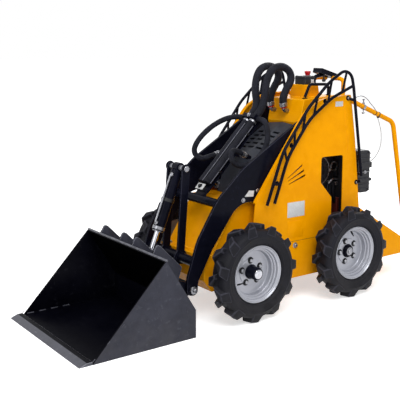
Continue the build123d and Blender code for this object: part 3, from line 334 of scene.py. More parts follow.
# inside the bucket its charcoal paint is made near black: painted shade
BUCKET_INSIDE_SHADE = finish("bucket_inside_shade", "charcoal_paint", "#05050c", "#020207", (0.34, 0.48), 4.0,
                       (240, 0.0002), specular=0.04, scuffs=0.03, edge=("#70717c", 0.35))
BUCKET_RAIL = finish("bucket_rail", "charcoal_paint", "#63646d", "#25262d", (0.3, 0.5), 26.0,
                     (240, 0.0002), specular=0.35, scuffs=0.3, edge=("#8b8c95", 0.5))
RIM_GREY = finish("rim_paint", "rim_paint", "#a6a8b1", "#a0a2ab", (0.29, 0.31), 3.0, (300, 0.00001),
                  metallic=0.35, specular=0.4, dust=0.06, dust_reach=0.4, edge=("#d0d1d8", 0.5))
GRILLE_GREY = finish("grille_paint", "grille_paint", "#393c46", "#2c2f37", (0.34, 0.46), 6.0,
                     (320, 0.00015), specular=0.22, edge=("#666975", 0.5))
STEEL = finish("worn_steel", "worn_steel", "#50515b", "#393a43", (0.34, 0.5), 12.0, (180, 0.0002),
               metallic=0.35, scuffs=0.25, edge=("#a2a3ab", 0.5))
ZINC = finish("zinc", "zinc", "#9fa0a6", "#7c7d83", (0.22, 0.36), 40.0, (700, 0.0001), metallic=0.85,
              edge=("#d8d8dc", 0.6))
CHROME = finish("rod_chrome", "rod_chrome", "#c2c3ca", "#b2b3ba", (0.06, 0.1), 20.0, (900, 0.00002),
                metallic=1.0)
RUBBER = finish("tyre_rubber", "tyre_rubber", "#1c1c23", "#121217", (0.5, 0.68), 14.0, (420, 0.0004),
                specular=0.14, dust=0.05, dust_reach=0.25, edge=("#3b3b45", 0.5))
SLEEVE = finish("hose_sleeve", "hose_sleeve", "#2e2f3a", "#12131a", (0.5, 0.66), 18.0, (300, 0.0008),
                specular=0.12, weave=(210, 26))
ENGINE_BLACK = finish("engine_black", "engine_black", "#1f2027", "#131419", (0.38, 0.54), 10.0,
                      (260, 0.0005), specular=0.3, dust=0.05, dust_reach=0.9, edge=("#4a4b55", 0.5))
CRANKCASE_RED = finish("crankcase_red", "engine_black", "#5c1d16", "#3a1412", (0.42, 0.58), 12.0,
                       (240, 0.0005), specular=0.3, edge=("#8a4a44", 0.5))
RED = finish("red_plastic", "red_plastic", "#c80f18", "#a80c14", (0.18, 0.26), 30.0, (600, 0.0001),
             specular=0.3)
PLASTIC = finish("black_plastic", "black_plastic", "#17181c", "#101114", (0.42, 0.55), 22.0,
                 (900, 0.0003), specular=0.35, edge=("#33343b", 0.5))
PALE = finish("grey_plastic", "grey_plastic", "#cfd0d0", "#bcbdbe", (0.34, 0.44), 14.0, (500, 0.0001),
              specular=0.25)


# Shapes, each a small bmesh in millimetres
def aim(place, direction):
    """Moves a shape that stands along +Z to a place, turned to a direction."""
    turn = Vector(direction).to_track_quat("Z", "Y").to_matrix().to_4x4()
    return Matrix.Translation(place) @ turn


def gather(shapes):
    """Several shapes as one."""
    whole = bmesh.new()
    for shape in shapes:
        loose = bpy.data.meshes.new("loose")
        shape.to_mesh(loose)
        shape.free()
        whole.from_mesh(loose)
        bpy.data.meshes.remove(loose)
    return whole


def whole(shape):
    """One shape as it is, or the shapes of a list joined."""
    return gather(shape) if isinstance(shape, list) else shape


def flipped(shape):
    """A shape moved to the machine's other side."""
    bmesh.ops.scale(shape, vec=(1, -1, 1), verts=shape.verts)
    bmesh.ops.reverse_faces(shape, faces=shape.faces)
    return shape


def on_both_sides(shape):
    one = whole(shape)
    return gather([one, flipped(one.copy())])


def soften(shape, width, segments=2, angle=28):
    """Rounds every sharp edge, and marks the new faces, where paint wears and where a painted highlight is laid."""
    marks = shape.faces.layers.float.get("edge") or shape.faces.layers.float.new("edge")
    sharp = [edge for edge in shape.edges
             if len(edge.link_faces) == 2 and edge.calc_face_angle(0) > radians(angle)]
    if sharp:
        made = bmesh.ops.bevel(shape, geom=sharp, offset=width, offset_type="OFFSET", segments=segments,
                               profile=0.5, affect="EDGES", clamp_overlap=True, material=-1)
        for face in made["faces"]:
            face[marks] = 1.0
    return shape


def moved(shape, matrix):
    bmesh.ops.transform(shape, matrix=matrix, verts=shape.verts)
    return shape


def block(low, high, width=0.0):
    """A rounded block between two corners."""
    shape = bmesh.new()
    middle = (Vector(low) + Vector(high)) / 2
    size = Vector(high) - Vector(low)
    bmesh.ops.create_cube(shape, size=1, matrix=Matrix.Translation(middle) @ Matrix.Diagonal((*size, 1)))
    return soften(shape, width) if width else shape


def bar(start, end, radius, sides=20, width=0.0):
    """A round bar between two places, with its ends rounded by a width."""
    shape = bmesh.new()
    run = Vector(end) - Vector(start)
    bmesh.ops.create_cone(shape, cap_ends=True, segments=sides, radius1=radius, radius2=radius,
                          depth=run.length, matrix=aim(Vector(start) + run / 2, run))
    return soften(shape, width, angle=40) if width else shape


def lathe(profile, place=(0, 0, 0), direction=(0, 0, 1), steps=32, closed=False):
    """A turned shape from points of radius and height, standing at a place along a direction."""
    shape = bmesh.new()
    verts = [shape.verts.new((radius, 0, height)) for radius, height in profile]
    edges = [shape.edges.new(pair) for pair in zip(verts, verts[1:])]
    if closed:
        edges.append(shape.edges.new((verts[-1], verts[0])))
    bmesh.ops.spin(shape, geom=verts + edges, cent=(0, 0, 0), axis=(0, 0, 1), angle=2 * pi, steps=steps,
                   use_merge=True)
    bmesh.ops.remove_doubles(shape, verts=shape.verts, dist=0.001)
    bmesh.ops.recalc_face_normals(shape, faces=shape.faces)
    return moved(shape, aim(place, direction))


def ring(place, direction, inner, outer, thick, steps=40):
    """A washer with eased edges."""
    ease = min(0.8, thick / 4)
    profile = [(inner, 0), (outer, 0), (outer, thick - ease), (outer - ease, thick), (inner, thick)]
    return lathe(profile, place, direction, steps, True)


def sleeve(place, direction, inner, outer, length, steps=36):
    """A plain round sleeve."""
    return lathe([(inner, 0), (outer, 0), (outer, length), (inner, length)], place, direction, steps, True)


def slab(outline, inner, outer, width=0.0):
    """A flat plate standing along the machine, from its outline of x and z, between two widths."""
    shape = bmesh.new()
    face = shape.faces.new([shape.verts.new((x, inner, z)) for x, z in outline])
    grown = bmesh.ops.extrude_face_region(shape, geom=[face])
    rising = [item for item in grown["geom"] if isinstance(item, bmesh.types.BMVert)]
    bmesh.ops.translate(shape, vec=(0, outer - inner, 0), verts=rising)
    bmesh.ops.recalc_face_normals(shape, faces=shape.faces)
    return soften(shape, width) if width else shape


def bolt(place, direction, across=17, washer=True, depth=0.6):
    """A hexagon bolt head with a chamfer, standing on its washer."""
    radius = across / 3 ** 0.5
    head = bmesh.new()
    tall = across * depth
    bmesh.ops.create_cone(head, cap_ends=True, segments=6, radius1=radius, radius2=radius, depth=tall,
                          matrix=aim(Vector((0, 0, tall / 2 + across * 0.1)), Z))
    soften(head, across * 0.07, 1)
    shapes = [head]
    if washer:
        shapes.append(bar((0, 0, 0), (0, 0, across * 0.14), across * 0.86, 24, across * 0.03))
    return moved(gather(shapes), aim(place, direction))


def frames_along(path):
    """At each point of a path, the matrix that stands a ring across it without twisting."""
    matrices = []
    last = None
    for index, here in enumerate(path):
        ahead = path[min(index + 1, len(path) - 1)] - path[max(index - 1, 0)]
        ahead.normalize()
        if last is None:
            side = ahead.cross(Y if abs(ahead.y) < 0.8 else X).normalized()
        else:
            side = (last - last.dot(ahead) * ahead).normalized()
        last = side
        turn = Matrix((side, ahead.cross(side), ahead)).transposed().to_4x4()
        matrices.append(Matrix.Translation(here) @ turn)
    return matrices


def tube(path, radius, sides=20, swell=None):
    """A round tube along a path, its UV map holding metres along and the share of the way round."""
    path = [Vector(point) for point in path]
    shape = bmesh.new()
    sheet = shape.loops.layers.uv.new("UVMap")
    lengths = [0.0]
    for before, here in zip(path, path[1:]):
        lengths.append(lengths[-1] + (here - before).length)
    seat = {}
    rings = []
    for index, matrix in enumerate(frames_along(path)):
        grown = radius * (swell(lengths[index]) if swell else 1)
        ring = bmesh.ops.create_circle(shape, segments=sides, radius=grown, matrix=matrix)["verts"]
        for turn, vert in enumerate(ring):
            seat[vert] = (lengths[index] * MM, turn / sides)
        rings.append(ring)
    for lower, upper in zip(rings, rings[1:]):
        edges = {edge for ring in (lower, upper) for vert in ring for edge in vert.link_edges
                 if edge.verts[0] in ring and edge.verts[1] in ring}
        bmesh.ops.bridge_loops(shape, edges=list(edges))
    for face in shape.faces:
        shares = [seat[loop.vert][1] for loop in face.loops]
        wraps = max(shares) - min(shares) > 0.5
        for loop, share in zip(face.loops, shares):
            loop[sheet].uv = (seat[loop.vert][0], share + 1 if wraps and share < 0.5 else share)
    for ring in (rings[0], rings[-1]):
        bmesh.ops.contextual_create(shape, geom=ring)
    bmesh.ops.recalc_face_normals(shape, faces=shape.faces)
    return shape


def bend(start, corner, end, share=0.5, steps=6):
    """Points of a smooth bend from a start to an end past a corner."""
    start, corner, end = Vector(start), Vector(corner), Vector(end)
    enter = corner.lerp(start, share)
    leave = corner.lerp(end, share)
    points = [start]
    for step in range(steps + 1):
        way = step / steps
        points.append(enter.lerp(corner, way).lerp(corner.lerp(leave, way), way))
    return [*points, end]


def bead(start, end, size=4.0):
    """A weld bead: overlapping ripples along a joint."""
    start, end = Vector(start), Vector(end)
    run = (end - start).length
    count = max(3, ceil(run / (size * 0.8)))
    path = [start.lerp(end, step / count) for step in range(count + 1)]
    pitch = run / count
    return tube(path, size, 8, lambda along: 1.0 if round(along / pitch) % 2 else 0.78)


def piece(name, shape, material, body, replaces=(), angle=35, more=()):
    """Finishes a shape, or a list of shapes joined, as an object of the frame that rides on a body."""
    shape = moved(whole(shape), TO_FRAME)
    mesh = bpy.data.meshes.new(name)
    shape.to_mesh(mesh)
    shape.free()
    mesh.shade_smooth()
    mesh.set_sharp_from_angle(angle=radians(angle))
    for finish_used in (material, *more):
        mesh.materials.append(finish_used)
    made = bpy.data.objects.new(name, mesh)
    bpy.context.scene.collection.objects.link(made)
    if body:
        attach(made, body)
    if replaces:
        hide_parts(*replaces)
    return made


def body_with(node_name):
    for body, members in frame["record"]["behaviour"]["bodies"].items():
        if node_name in members:
            return body


def cad_shape(node_name):
    """A copy of a CAD node in millimetres, its loose triangles merged into whole faces."""
    shape = bmesh.new()
    shape.from_mesh(frame["nodes"][node_name].data)
    for layers in (shape.loops.layers.uv, shape.faces.layers.float):
        for layer in list(layers.values()):
            layers.remove(layer)
    moved(shape, TO_FRAME.inverted())
    bmesh.ops.remove_doubles(shape, verts=shape.verts, dist=0.01)
    bmesh.ops.dissolve_limit(shape, angle_limit=radians(0.6), verts=shape.verts, edges=shape.edges)
    for face in shape.faces:
        face.material_index = 0
    return shape


def softened(node_name, width, material, more=(), paint=None):
    """A CAD node with its edges rounded as bent and welded plate has them, in its finish; faces picked by paint
    take a second one, which inside the bucket is painted shade.
    """
    shape = cad_shape(node_name)
    if width:
        soften(shape, width)
    if paint:
        for face in shape.faces:
            face.material_index = paint(face)
    made = piece(f"{node_name}_dressed", shape, material, body_with(node_name), [node_name], more=more)
    steady = made.modifiers.new("steady normals", "WEIGHTED_NORMAL")
    steady.keep_sharp = True
    return made


# solids that take one finish, and how far their edges are rounded
ONE_FINISH = [
    (YELLOW, {"console_tower": 2.5, "side_panel_left": 1.4, "side_panel_right": 1.4, "chassis_frame": 1.5,
              "front_nose": 2.5, "rear_step": 1.5, "operator_rail_left": 0, "operator_rail_right": 0}),
    (BLACK, {"arm_left": 2.0, "arm_right": 2.0, "hitch_plate": 1.5, "tilt_bars": 1.5, "arm_cross_tubes": 0,
             "tilt_barrel": 2.0, "lift_barrels": 2.0, "hose_carrier": 1.0, "lever_guard": 2.0,
             "grab_handle": 0, "arm_guard_left": 0, "arm_guard_right": 0, "drive_motors": 3.0}),
    (ZINC, {"arm_pins": 1.5, "hose_fittings": 0.8, "chassis_pins": 1.5}),
    (CHROME, {"tilt_rod": 1.2, "lift_rods": 1.2}),
    (PLASTIC, {"control_box": 4.0}),
    (GRILLE_GREY, {"grille": 1.0}),
    (ENGINE_BLACK, {"muffler": 2.0}),
]
for material, widths in ONE_FINISH:
    for node_name, width in widths.items():
        softened(node_name, width, material)


# Hoses and the cable, whose routes repeat those of the part's source
LOOP_ROUTES = {
    "left": [
        (-131.8, 20, 985.6), (-122, 20, 1021), (-148, 20, 1074), (-184, 20, 1118), (-172, 20, 1168),
        (-112, 18, 1196), (-52, 14, 1178), (-20, 10, 1118), (-18, 4, 1050), (-10, 0, 1000),
        (6.2, 0, 967.2), (37.8, 0, 935.2),
    ],
    "right": [
        (-131.8, -84, 985.6), (-122, -84, 1021), (-150, -84, 1076), (-184, -82, 1124), (-168, -76, 1170),
        (-106, -70, 1196), (-40, -62, 1182), (-4, -56, 1128), (4, -50, 1060), (-4, -46, 1006),
        (6.2, -45, 967.2), (37.8, -45, 935.2),
    ],
}
SIDE_ROUTES = {
    "left": [
        (46.4, 28.3, 926.5), (46.4, 56, 926.5), (52, 90, 918), (61, 118, 890), (72, 140, 850),
        (92, 152, 806), (126, 157, 764), (172, 154, 733), (218, 147, 714), (258, 138, 716),
        (284, 128, 738), (288, 118, 766), (278, 113, 788), (254, 112, 790.4), (222, 112, 774),
    ],
    "right": [
        (46.4, -73.3, 926.5), (46.4, -98, 926.5), (84, -117, 931), (136, -129, 922), (194, -139, 898),
        (250, -146, 862), (300, -148, 818), (330, -144, 772), (320, -136, 738), (288, -123, 722),
        (251.3, -112, 733.8), (222, -112, 740),
    ],
}
CABLE_ROUTE = [
    (-624, 231.7, 917.6), (-650, 230, 868), (-668, 226, 812), (-677, 214, 744), (-662, 188, 684),
    (-646, 140, 646), (-634, 84, 634), (-596, 24, 630), (-500, 10, 640), (-425.3, 6, 643),
]
LOOP_DIAMETER, SIDE_DIAMETER, CABLE_DIAMETER = 40, 28, 5
# the carrier on the arms: where it starts, how its hoses run, and how far across they lie
CARRIER, CARRIER_RUN, BUNDLE_WIDTHS = Vector((38, 0, 935)), Vector((310, 0, -314)), (0, -45)
BUNDLE_STEPS = 60


def spline_points(name, route):
    """Points of the smooth line that a route's points control."""
    curve = bpy.data.curves.new(name, "CURVE")
    curve.dimensions = "3D"
    curve.resolution_u = 10
    line = curve.splines.new("NURBS")
    line.points.add(len(route) - 1)
    for point, place in zip(line.points, route):
        point.co = (*(TO_FRAME @ Vector(place)), 1)
    line.use_endpoint_u = True
    line.order_u = 3
    drawn = bpy.data.objects.new(name, curve)
    bpy.context.scene.collection.objects.link(drawn)
    mesh = bpy.data.meshes.new_from_object(drawn)
    places = [vert.co.copy() for vert in mesh.vertices]
    bpy.data.objects.remove(drawn)
    bpy.data.curves.remove(curve)
    bpy.data.meshes.remove(mesh)
    return places


def make_cord(node_name, route, diameter, material, body, sides, swell=None):
    places = spline_points(f"{node_name}_line", route)
    shape = tube([TO_FRAME.inverted() @ place for place in places], diameter / 2, sides, swell)
    cord = piece(f"{node_name}_dressed", shape, material, body, [node_name])
    return cord


def slack_sleeve(along):
    """A woven sleeve is a little fuller in places."""
    return 1 + 0.012 * sin(along / 17) + 0.008 * sin(along / 7.3)


for side in SIDES:
    loop = make_cord(f"hose_loop_{side}", LOOP_ROUTES[side], LOOP_DIAMETER, SLEEVE, None, 28,
                     slack_sleeve)
    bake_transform(loop, "chassis", "lift_arm", TO_FRAME @ Vector((-150, 0, 1000)), TO_FRAME @ Vector((30, 0, 945)))
    make_cord(f"side_hose_{side}", SIDE_ROUTES[side], SIDE_DIAMETER, SLEEVE, "lift_arm", 22,
              slack_sleeve)
make_cord("throttle_cable", CABLE_ROUTE, CABLE_DIAMETER, PALE, "chassis", 12)


def make_bundles():
    """The two long sleeved hoses along the arms."""
    shapes = []
    for width in BUNDLE_WIDTHS:
        start = CARRIER + Y * width
        path = [start + CARRIER_RUN * (step / BUNDLE_STEPS) for step in range(BUNDLE_STEPS + 1)]
        shapes.append(tube(path, LOOP_DIAMETER / 2, 28, slack_sleeve))
    piece("hose_bundles_dressed", shapes, SLEEVE, "lift_arm", ["hose_bundles"])


make_bundles()


# Wheels
TYRE_RADIUS, CARCASS_RADIUS, TYRE_HALF = 237, 214, 56
LUG_COUNT, LUG_WIDTH, LUG_LEAD, LUG_TRAIL, LUG_INSET, LUG_START = 11, 30, 0.50, 0.95, 3, 3
WHEEL_X, WHEEL_Y = 323.5, 348
DISC_FACE = -23
TYRE_WALL = [
    # radius, half width: from the bead out to the middle of the tread
    (129.6, 28.0), (141.0, 29.0), (142.5, 38.0), (147.0, 44.0), (150.5, 47.4), (152.5, 48.9), (154.5, 48.2),
    (156.0, 48.6), (164.0, 51.6), (174.0, 54.4), (180.0, 55.6), (182.0, 57.4), (185.5, 57.8), (188.0, 56.4),
    (190.0, 54.6), (197.0, 52.4), (204.0, 48.8), (209.5, 42.0), (212.6, 32.0), (213.8, 20.0), (214.0, 0.0),
]
RIM_FACE = [
    # radius, height: from the outer lip in to the disc and back along the hidden side
    (139.0, 34.0), (139.0, 37.4), (137.8, 38.8), (135.4, 39.0), (134.0, 38.0), (133.0, 35.6), (131.4, 33.8),
    (128.6, 32.0), (126.0, 31.4), (124.6, 30.0), (124.0, 27.0), (123.6, 21.0), (122.0, 18.6), (119.0, 17.8),
    (116.6, 17.2), (115.4, 15.0), (115.0, 8.0), (114.0, 5.8), (111.6, 5.0), (110.0, 4.0),
    (109.2, 1.6), (109.0, -17.0), (107.6, -20.6), (104.6, -22.6), (100.0, -23.0),
    (17.0, -23.0), (17.0, -31.0), (109.0, -31.0), (124.0, -39.0), (139.0, -39.0), (139.0, -34.0),
    (129.0, -29.0), (129.0, -23.4), (114.0, -17.5), (114.0, 7.8), (129.0, 17.6), (129.0, 29.0),
]


def lug_corners(inner, outer, half_width):
    return [
        (LUG_LEAD * inner - half_width, inner), (LUG_TRAIL * inner + half_width, inner),
        (LUG_TRAIL * outer + half_width, outer), (LUG_LEAD * outer - half_width, outer),
    ]


def make_tyre():
    """Smooth carcass with ribbed walls, and two rows of swept lugs with rounded shoulders."""
    inner = [(radius, -width) for radius, width in TYRE_WALL]
    carcass = lathe([*TYRE_WALL, *reversed(inner[:-1])], direction=Y, steps=88, closed=True)
    foot = lug_corners(-LUG_START - LUG_INSET, TYRE_HALF, LUG_WIDTH / 2 + LUG_INSET)
    crown = lug_corners(-LUG_START, TYRE_HALF * 0.74, LUG_WIDTH / 2 - LUG_INSET)
    middle = (min(x for x, _ in crown) + max(x for x, _ in crown)) / 2
    reach = max(x for x, _ in crown) - middle
    height = (TYRE_RADIUS ** 2 - reach ** 2) ** 0.5
    turn = pi - atan2(reach, height)
    lugs = []
    for index in range(LUG_COUNT):
        for row, sign in ((0, 1), (0.5, -1)):
            lug = bmesh.new()
            rings = [
                [lug.verts.new((x - middle, sign * y, z)) for x, y in corners]
                for corners, z in ((foot, CARCASS_RADIUS * 0.88), (crown, height))
            ]
            lug.faces.new(rings[0])
            lug.faces.new(rings[1])
            for here in range(4):
                there = (here + 1) % 4
                lug.faces.new((rings[0][here], rings[0][there], rings[1][there], rings[1][here]))
            bmesh.ops.recalc_face_normals(lug, faces=lug.faces)
            soften(lug, 5.0, 4)
            angle = turn + 2 * pi * (index + row) / LUG_COUNT
            lugs.append(moved(lug, Matrix.Rotation(angle, 4, "Y")))
    return gather([carcass, *lugs])


def make_rim():
    """Pressed rim, with a rolled lip and three steps down to its flat disc."""
    rim = lathe(RIM_FACE, direction=Y, steps=88, closed=True)
    mount = lathe([(31, -23), (66, -23), (66, -21.2), (64.6, -20), (31, -20)], direction=Y, steps=64,
                  closed=True)
    return gather([rim, mount])


def make_hub(reach):
    """The barrel on the disc, standing out to a height."""
    profile = [
        (0, DISC_FACE), (36, DISC_FACE), (36, -18.6), (34, -17.4), (31.4, -13), (31, -8), (31, reach - 17),
        (30.2, reach - 11), (27.6, reach - 6.4), (24.6, reach - 4.6), (0, reach - 4.6),
    ]
    return lathe(profile, direction=Y, steps=48)


def make_domed_cap(reach):
    """A front hub's bright cap, with the end of its spindle."""
    dome = lathe([(23.4, reach - 9), (23.4, reach - 4.4), (21.6, reach - 2.2), (17.4, reach - 0.8),
                  (8, reach - 0.1), (0, reach)], direction=Y, steps=48)
    nut = lathe([(5.5, reach - 1), (5.5, reach + 0.2), (4.4, reach + 0.6), (0, reach + 0.6)], direction=Y)
    return gather([dome, nut])


def make_bolted_cap(reach):
    """A rear hub's flat cap under its bolt."""
    return gather([bar((0, reach - 6, 0), (0, reach - 3.4, 0), 21, 40, 0.8),
                   bolt((0, reach - 4.4, 0), Y, 27, False, 0.18)])


def make_valve(turn):
    """A tyre's valve in two steps, at a turn about the axle."""
    outward = Vector((cos(turn), 0, sin(turn)))
    return gather([bar(outward * 113 - Y * 14, outward * 92 + Y * 6, 4.6, 16, 0.8),
                   bar(outward * 94 + Y * 4, outward * 84 + Y * 13, 3.2, 12, 0.6)])


BOLT_CIRCLE, BOLT_COUNT, BOLT_SEAT = 56, 5, -20
# thin black discs under the wheel bolts: painted shade of the recesses they sit in
BOLT_RECESS_SHADE = [(0, 0.1), (13.4, 0.1), (14.2, 0.9), (16, 0.9), (16.6, 0), (16.6, -0.6), (0, -0.6)]
AXLES = [
    # end, way along the machine, height of the hub, turns of the bolts and the valve in degrees
    ("front", 1, 43, 15, -26),
    ("rear", -1, 2, 0, 96),
]
for end, ahead, reach, bolts_turn, valve_turn in AXLES:
    turns = [2 * pi * index / BOLT_COUNT + radians(bolts_turn) for index in range(BOLT_COUNT)]
    seats = [(BOLT_CIRCLE * cos(turn), BOLT_SEAT, BOLT_CIRCLE * sin(turn)) for turn in turns]
    make_cap, cap_finish = (make_domed_cap, CHROME) if end == "front" else (make_bolted_cap, ZINC)
    for name, side in SIDES.items():
        place = Matrix.Translation((ahead * WHEEL_X, side * WHEEL_Y, TYRE_RADIUS))
        for label, shape, used, is_solid in (
            ("tyre", make_tyre(), RUBBER, True),
            ("rim", make_rim(), RIM_GREY, True),
            ("hub", make_hub(reach), BLACK, True),
            ("hub_bolts", gather([bolt(seat, Y, 17, False, 0.5) for seat in seats]), ZINC, False),
            # painted shade in the bolts' recesses
            ("bolt_recesses", gather([lathe(BOLT_RECESS_SHADE, seat, Y, 28) for seat in seats]), PLASTIC, False),
            ("hub_cap", make_cap(reach), cap_finish, False),
            ("valve", make_valve(radians(valve_turn)), PLASTIC, False),
        ):
            if side < 0:
                flipped(shape)
            piece(f"{label}_{end}_{name}_dressed", moved(shape, place), used, body_with(f"tyre_{end}_{name}"),
                  [f"{label}_{end}_{name}"] if is_solid else (), angle=40)


# Bucket
HALF_WIDTH, BACK_X, BACK_Z, TOP_X, TOP_Z, LIP_X = 370, 670, 131, 822, 381, 1247
WALL_FACE = HALF_WIDTH - 6
# outline of a gusset with its rounded peak, and where the gussets stand as shares of the half width
GUSSET = [(820, 380), (800, 415), (795, 419.5), (786, 420), (777, 415), (664, 300), (700, 181)]
GUSSET_SHARES, GUSSET_HALF = (0.16, 0.66), 5


def shaded_inside_faces(face):
    """The near-black painted shade, a darker copy of the bucket's paint, for what faces into the bucket."""
    middle, normal = face.calc_center_median(), face.normal
    floor_or_back = abs(middle.y) < WALL_FACE + 2 and (normal.z > 0.9 or normal.x > 0.3)
    return int(floor_or_back or (abs(middle.y) > WALL_FACE - 6 and normal.y * middle.y < -100))


def edge_paint(face):
    """The second finish for the cutting edge's upper face: its black paint, in the near-black material that paints
    the shade inside the bucket.
    """
    return int(face.normal.z > 0.98 and face.calc_center_median().z > 10)


# faces that look into the bucket take the near-black painted shade
softened("bucket_shell", 1.5, CHARCOAL, more=(BUCKET_INSIDE_SHADE,), paint=shaded_inside_faces)
softened("cutting_edge", 1.5, STEEL, more=(BUCKET_INSIDE_SHADE,), paint=edge_paint)
gussets = []
for share in (*[-share for share in reversed(GUSSET_SHARES)], *GUSSET_SHARES):
    gussets.append(slab(GUSSET, share * HALF_WIDTH - GUSSET_HALF, share * HALF_WIDTH + GUSSET_HALF, 1.2))
piece("bucket_gussets", gussets, CHARCOAL, "bucket")

# weld beads inside the shell and along the gussets, and bare dashes on its walls
welds, stitches, ticks = [], [], []
for side in (1, -1):
    wall = side * (WALL_FACE - 1)
    welds += [
        bead((LIP_X - 74, wall, 8), (BACK_X + 14, wall, 8), 2.6),
        bead((BACK_X + 8, wall, 12), (BACK_X + 8, wall, BACK_Z - 6), 2.6),
        bead((BACK_X + 10, wall, BACK_Z + 6), (TOP_X - 4, wall, TOP_Z - 18), 2.6),
    ]
    for share in GUSSET_SHARES:
        for face in (-GUSSET_HALF, GUSSET_HALF):
            y = side * share * HALF_WIDTH + face
            welds.append(bead((TOP_X - 46, y, TOP_Z - 70), (TOP_X - 10, y, TOP_Z - 14), 2.2))
    y = side * (WALL_FACE - 3)
    for step in range(4):
        x = LIP_X - 84 - step * 62
        stitches.append(bead((x, y, 9), (x - 32, y, 9), 3.2))
    y = side * HALF_WIDTH
    for step in range(3):
        x = LIP_X - 62 - step * 70
        ticks.append(bead((x, y, 13.6 + step * 60), (x - 12, y, 24 + step * 60), 1.8))
# the beads take the bucket's near-black material: painted shade inside the shell, dark joints on the gussets
piece("bucket_welds", welds, BUCKET_INSIDE_SHADE, "bucket")
piece("bucket_stitches", stitches, STEEL, "bucket")
piece("bucket_ticks", ticks, STEEL, "bucket")

# the bare rail along the top of the back, the strip behind the cutting edge and two bolts
rail = bar((TOP_X - 3, -HALF_WIDTH + 1, TOP_Z + 1), (TOP_X - 3, HALF_WIDTH - 1, TOP_Z + 1), 5.2, 20, 1.2)
piece("bucket_top_rail", rail, BUCKET_RAIL, "bucket")
seam = bead((LIP_X - 63, -WALL_FACE + 1, 7.4), (LIP_X - 63, WALL_FACE - 1, 7.4), 2.0)
piece("edge_seam", seam, STEEL, "bucket")
bucket_bolts = [bolt((BACK_X + 3, side * (HALF_WIDTH - 60), 60), -X, 17) for side in (1, -1)]
piece("bucket_bolts", bucket_bolts, ZINC, "bucket")


# Arms, hitch and cylinders, their pins given as x and z
ARM_FACE = 220
PIVOT, BUCKET_PIN, LIFT_PIN = (-240, 955), (585, 168), (200, 600)
TILT_TOP, TILT_EYE, LIFT_BASE = (518, 716), (680, 312), (-430, 200)
TILT_BARREL, LIFT_BARREL, LIFT_WIDTH = 299, 690, 172


def on_pin(pin, y):
    return (pin[0], y, pin[1])


washers, pin_ends, eye_bolts, keepers = [], [], [], []
for side in (1, -1):
    out = Vector((0, side, 0))
    face = side * ARM_FACE
    washers.append(ring(on_pin(PIVOT, face), out, 20.4, 36, 4.5))
    washers.append(ring(on_pin(BUCKET_PIN, face), out, 12.8, 26, 0.24))
    washers.append(ring(on_pin(TILT_TOP, side * 71), out, 14.2, 24, 3.4))
    pin_ends.append(bolt(on_pin(BUCKET_PIN, side * 232), out, 21))
    pin_ends.append(ring(on_pin(TILT_TOP, side * 77), out, 0.5, 11, 3.0))
    eye_bolts.append(bolt(on_pin(TILT_EYE, side * 42), out, 24))
    keepers.append(bolt(on_pin(LIFT_PIN, side * 208), out, 19))
piece("pivot_washers", washers, BLACK, "lift_arm")
piece("pin_bolts", pin_ends, ZINC, "lift_arm")
piece("eye_bolts", eye_bolts, ZINC, "bucket")
piece("lift_pin_bolts", keepers, ZINC, "lift_arm")


def cylinder_line(base, head, width, out, start, end):
    """Two points beside a cylinder, set off from its line by a distance out and a width."""
    run = Vector((head[0] - base[0], 0, head[1] - base[1]))
    along = run.normalized()
    across = Vector((along.z, 0, -along.x))
    origin = Vector((base[0], width, base[1])) + across * out
    return origin + along * start, origin + along * end


# tilt cylinder: its gland, the pipe beside it on two ports, and a clamp
top, foot = cylinder_line(TILT_TOP, TILT_EYE, 0, 0, TILT_BARREL, TILT_BARREL + 22)
run = (foot - top).normalized()
gland = lathe([(12.4, 0), (29.4, 0), (30.2, 1), (30.2, 15), (28, 17), (25, 17), (25, 24), (23, 26),
               (12.4, 26)], top, run, 48, True)
piece("tilt_gland", gland, ZINC, "tilt_barrel")
start, end = cylinder_line(TILT_TOP, TILT_EYE, 12, -37, 44, 286)
seats = cylinder_line(TILT_TOP, TILT_EYE, 12, -27, 44, 286)
straight = (end - start) * 0.12
pipe = tube([*bend(seats[0], start, start + straight), *bend(end - straight, end, seats[1])], 4.6, 14)
piece("tilt_pipe", pipe, ZINC, "tilt_barrel")
ports = [bar(seat, seat + (start - seats[0]) * 0.72, 11, 6, 1.2) for seat in seats]
piece("tilt_ports", ports, ZINC, "tilt_barrel")
clamp_place = cylinder_line(TILT_TOP, TILT_EYE, 0, 0, 158, 176)[0]
piece("tilt_clamp", sleeve(clamp_place, run, 29.2, 32.4, 16, 48), PLASTIC, "tilt_barrel")

glands = []
for side in (1, -1):
    near, far = cylinder_line(LIFT_BASE, LIFT_PIN, side * LIFT_WIDTH, 0, LIFT_BARREL, LIFT_BARREL + 20)
    glands.append(lathe([(12.9, 0), (25.6, 0), (26.4, 1), (26.4, 8), (24, 9.4), (12.9, 9.4)], near,
                        (far - near).normalized(), 44, True))
piece("lift_glands", glands, ZINC, "lift_barrels")

# a blank label and a bolt near the bend of each arm
label = slab([(280, 578), (254, 606), (222, 602), (227, 573)], ARM_FACE - 0.4, ARM_FACE + 0.8)
piece("arm_labels", on_both_sides(label), PALE, "lift_arm")
piece("arm_bolts", on_both_sides(bolt((290, ARM_FACE, 562), Y, 13)), ZINC, "lift_arm")


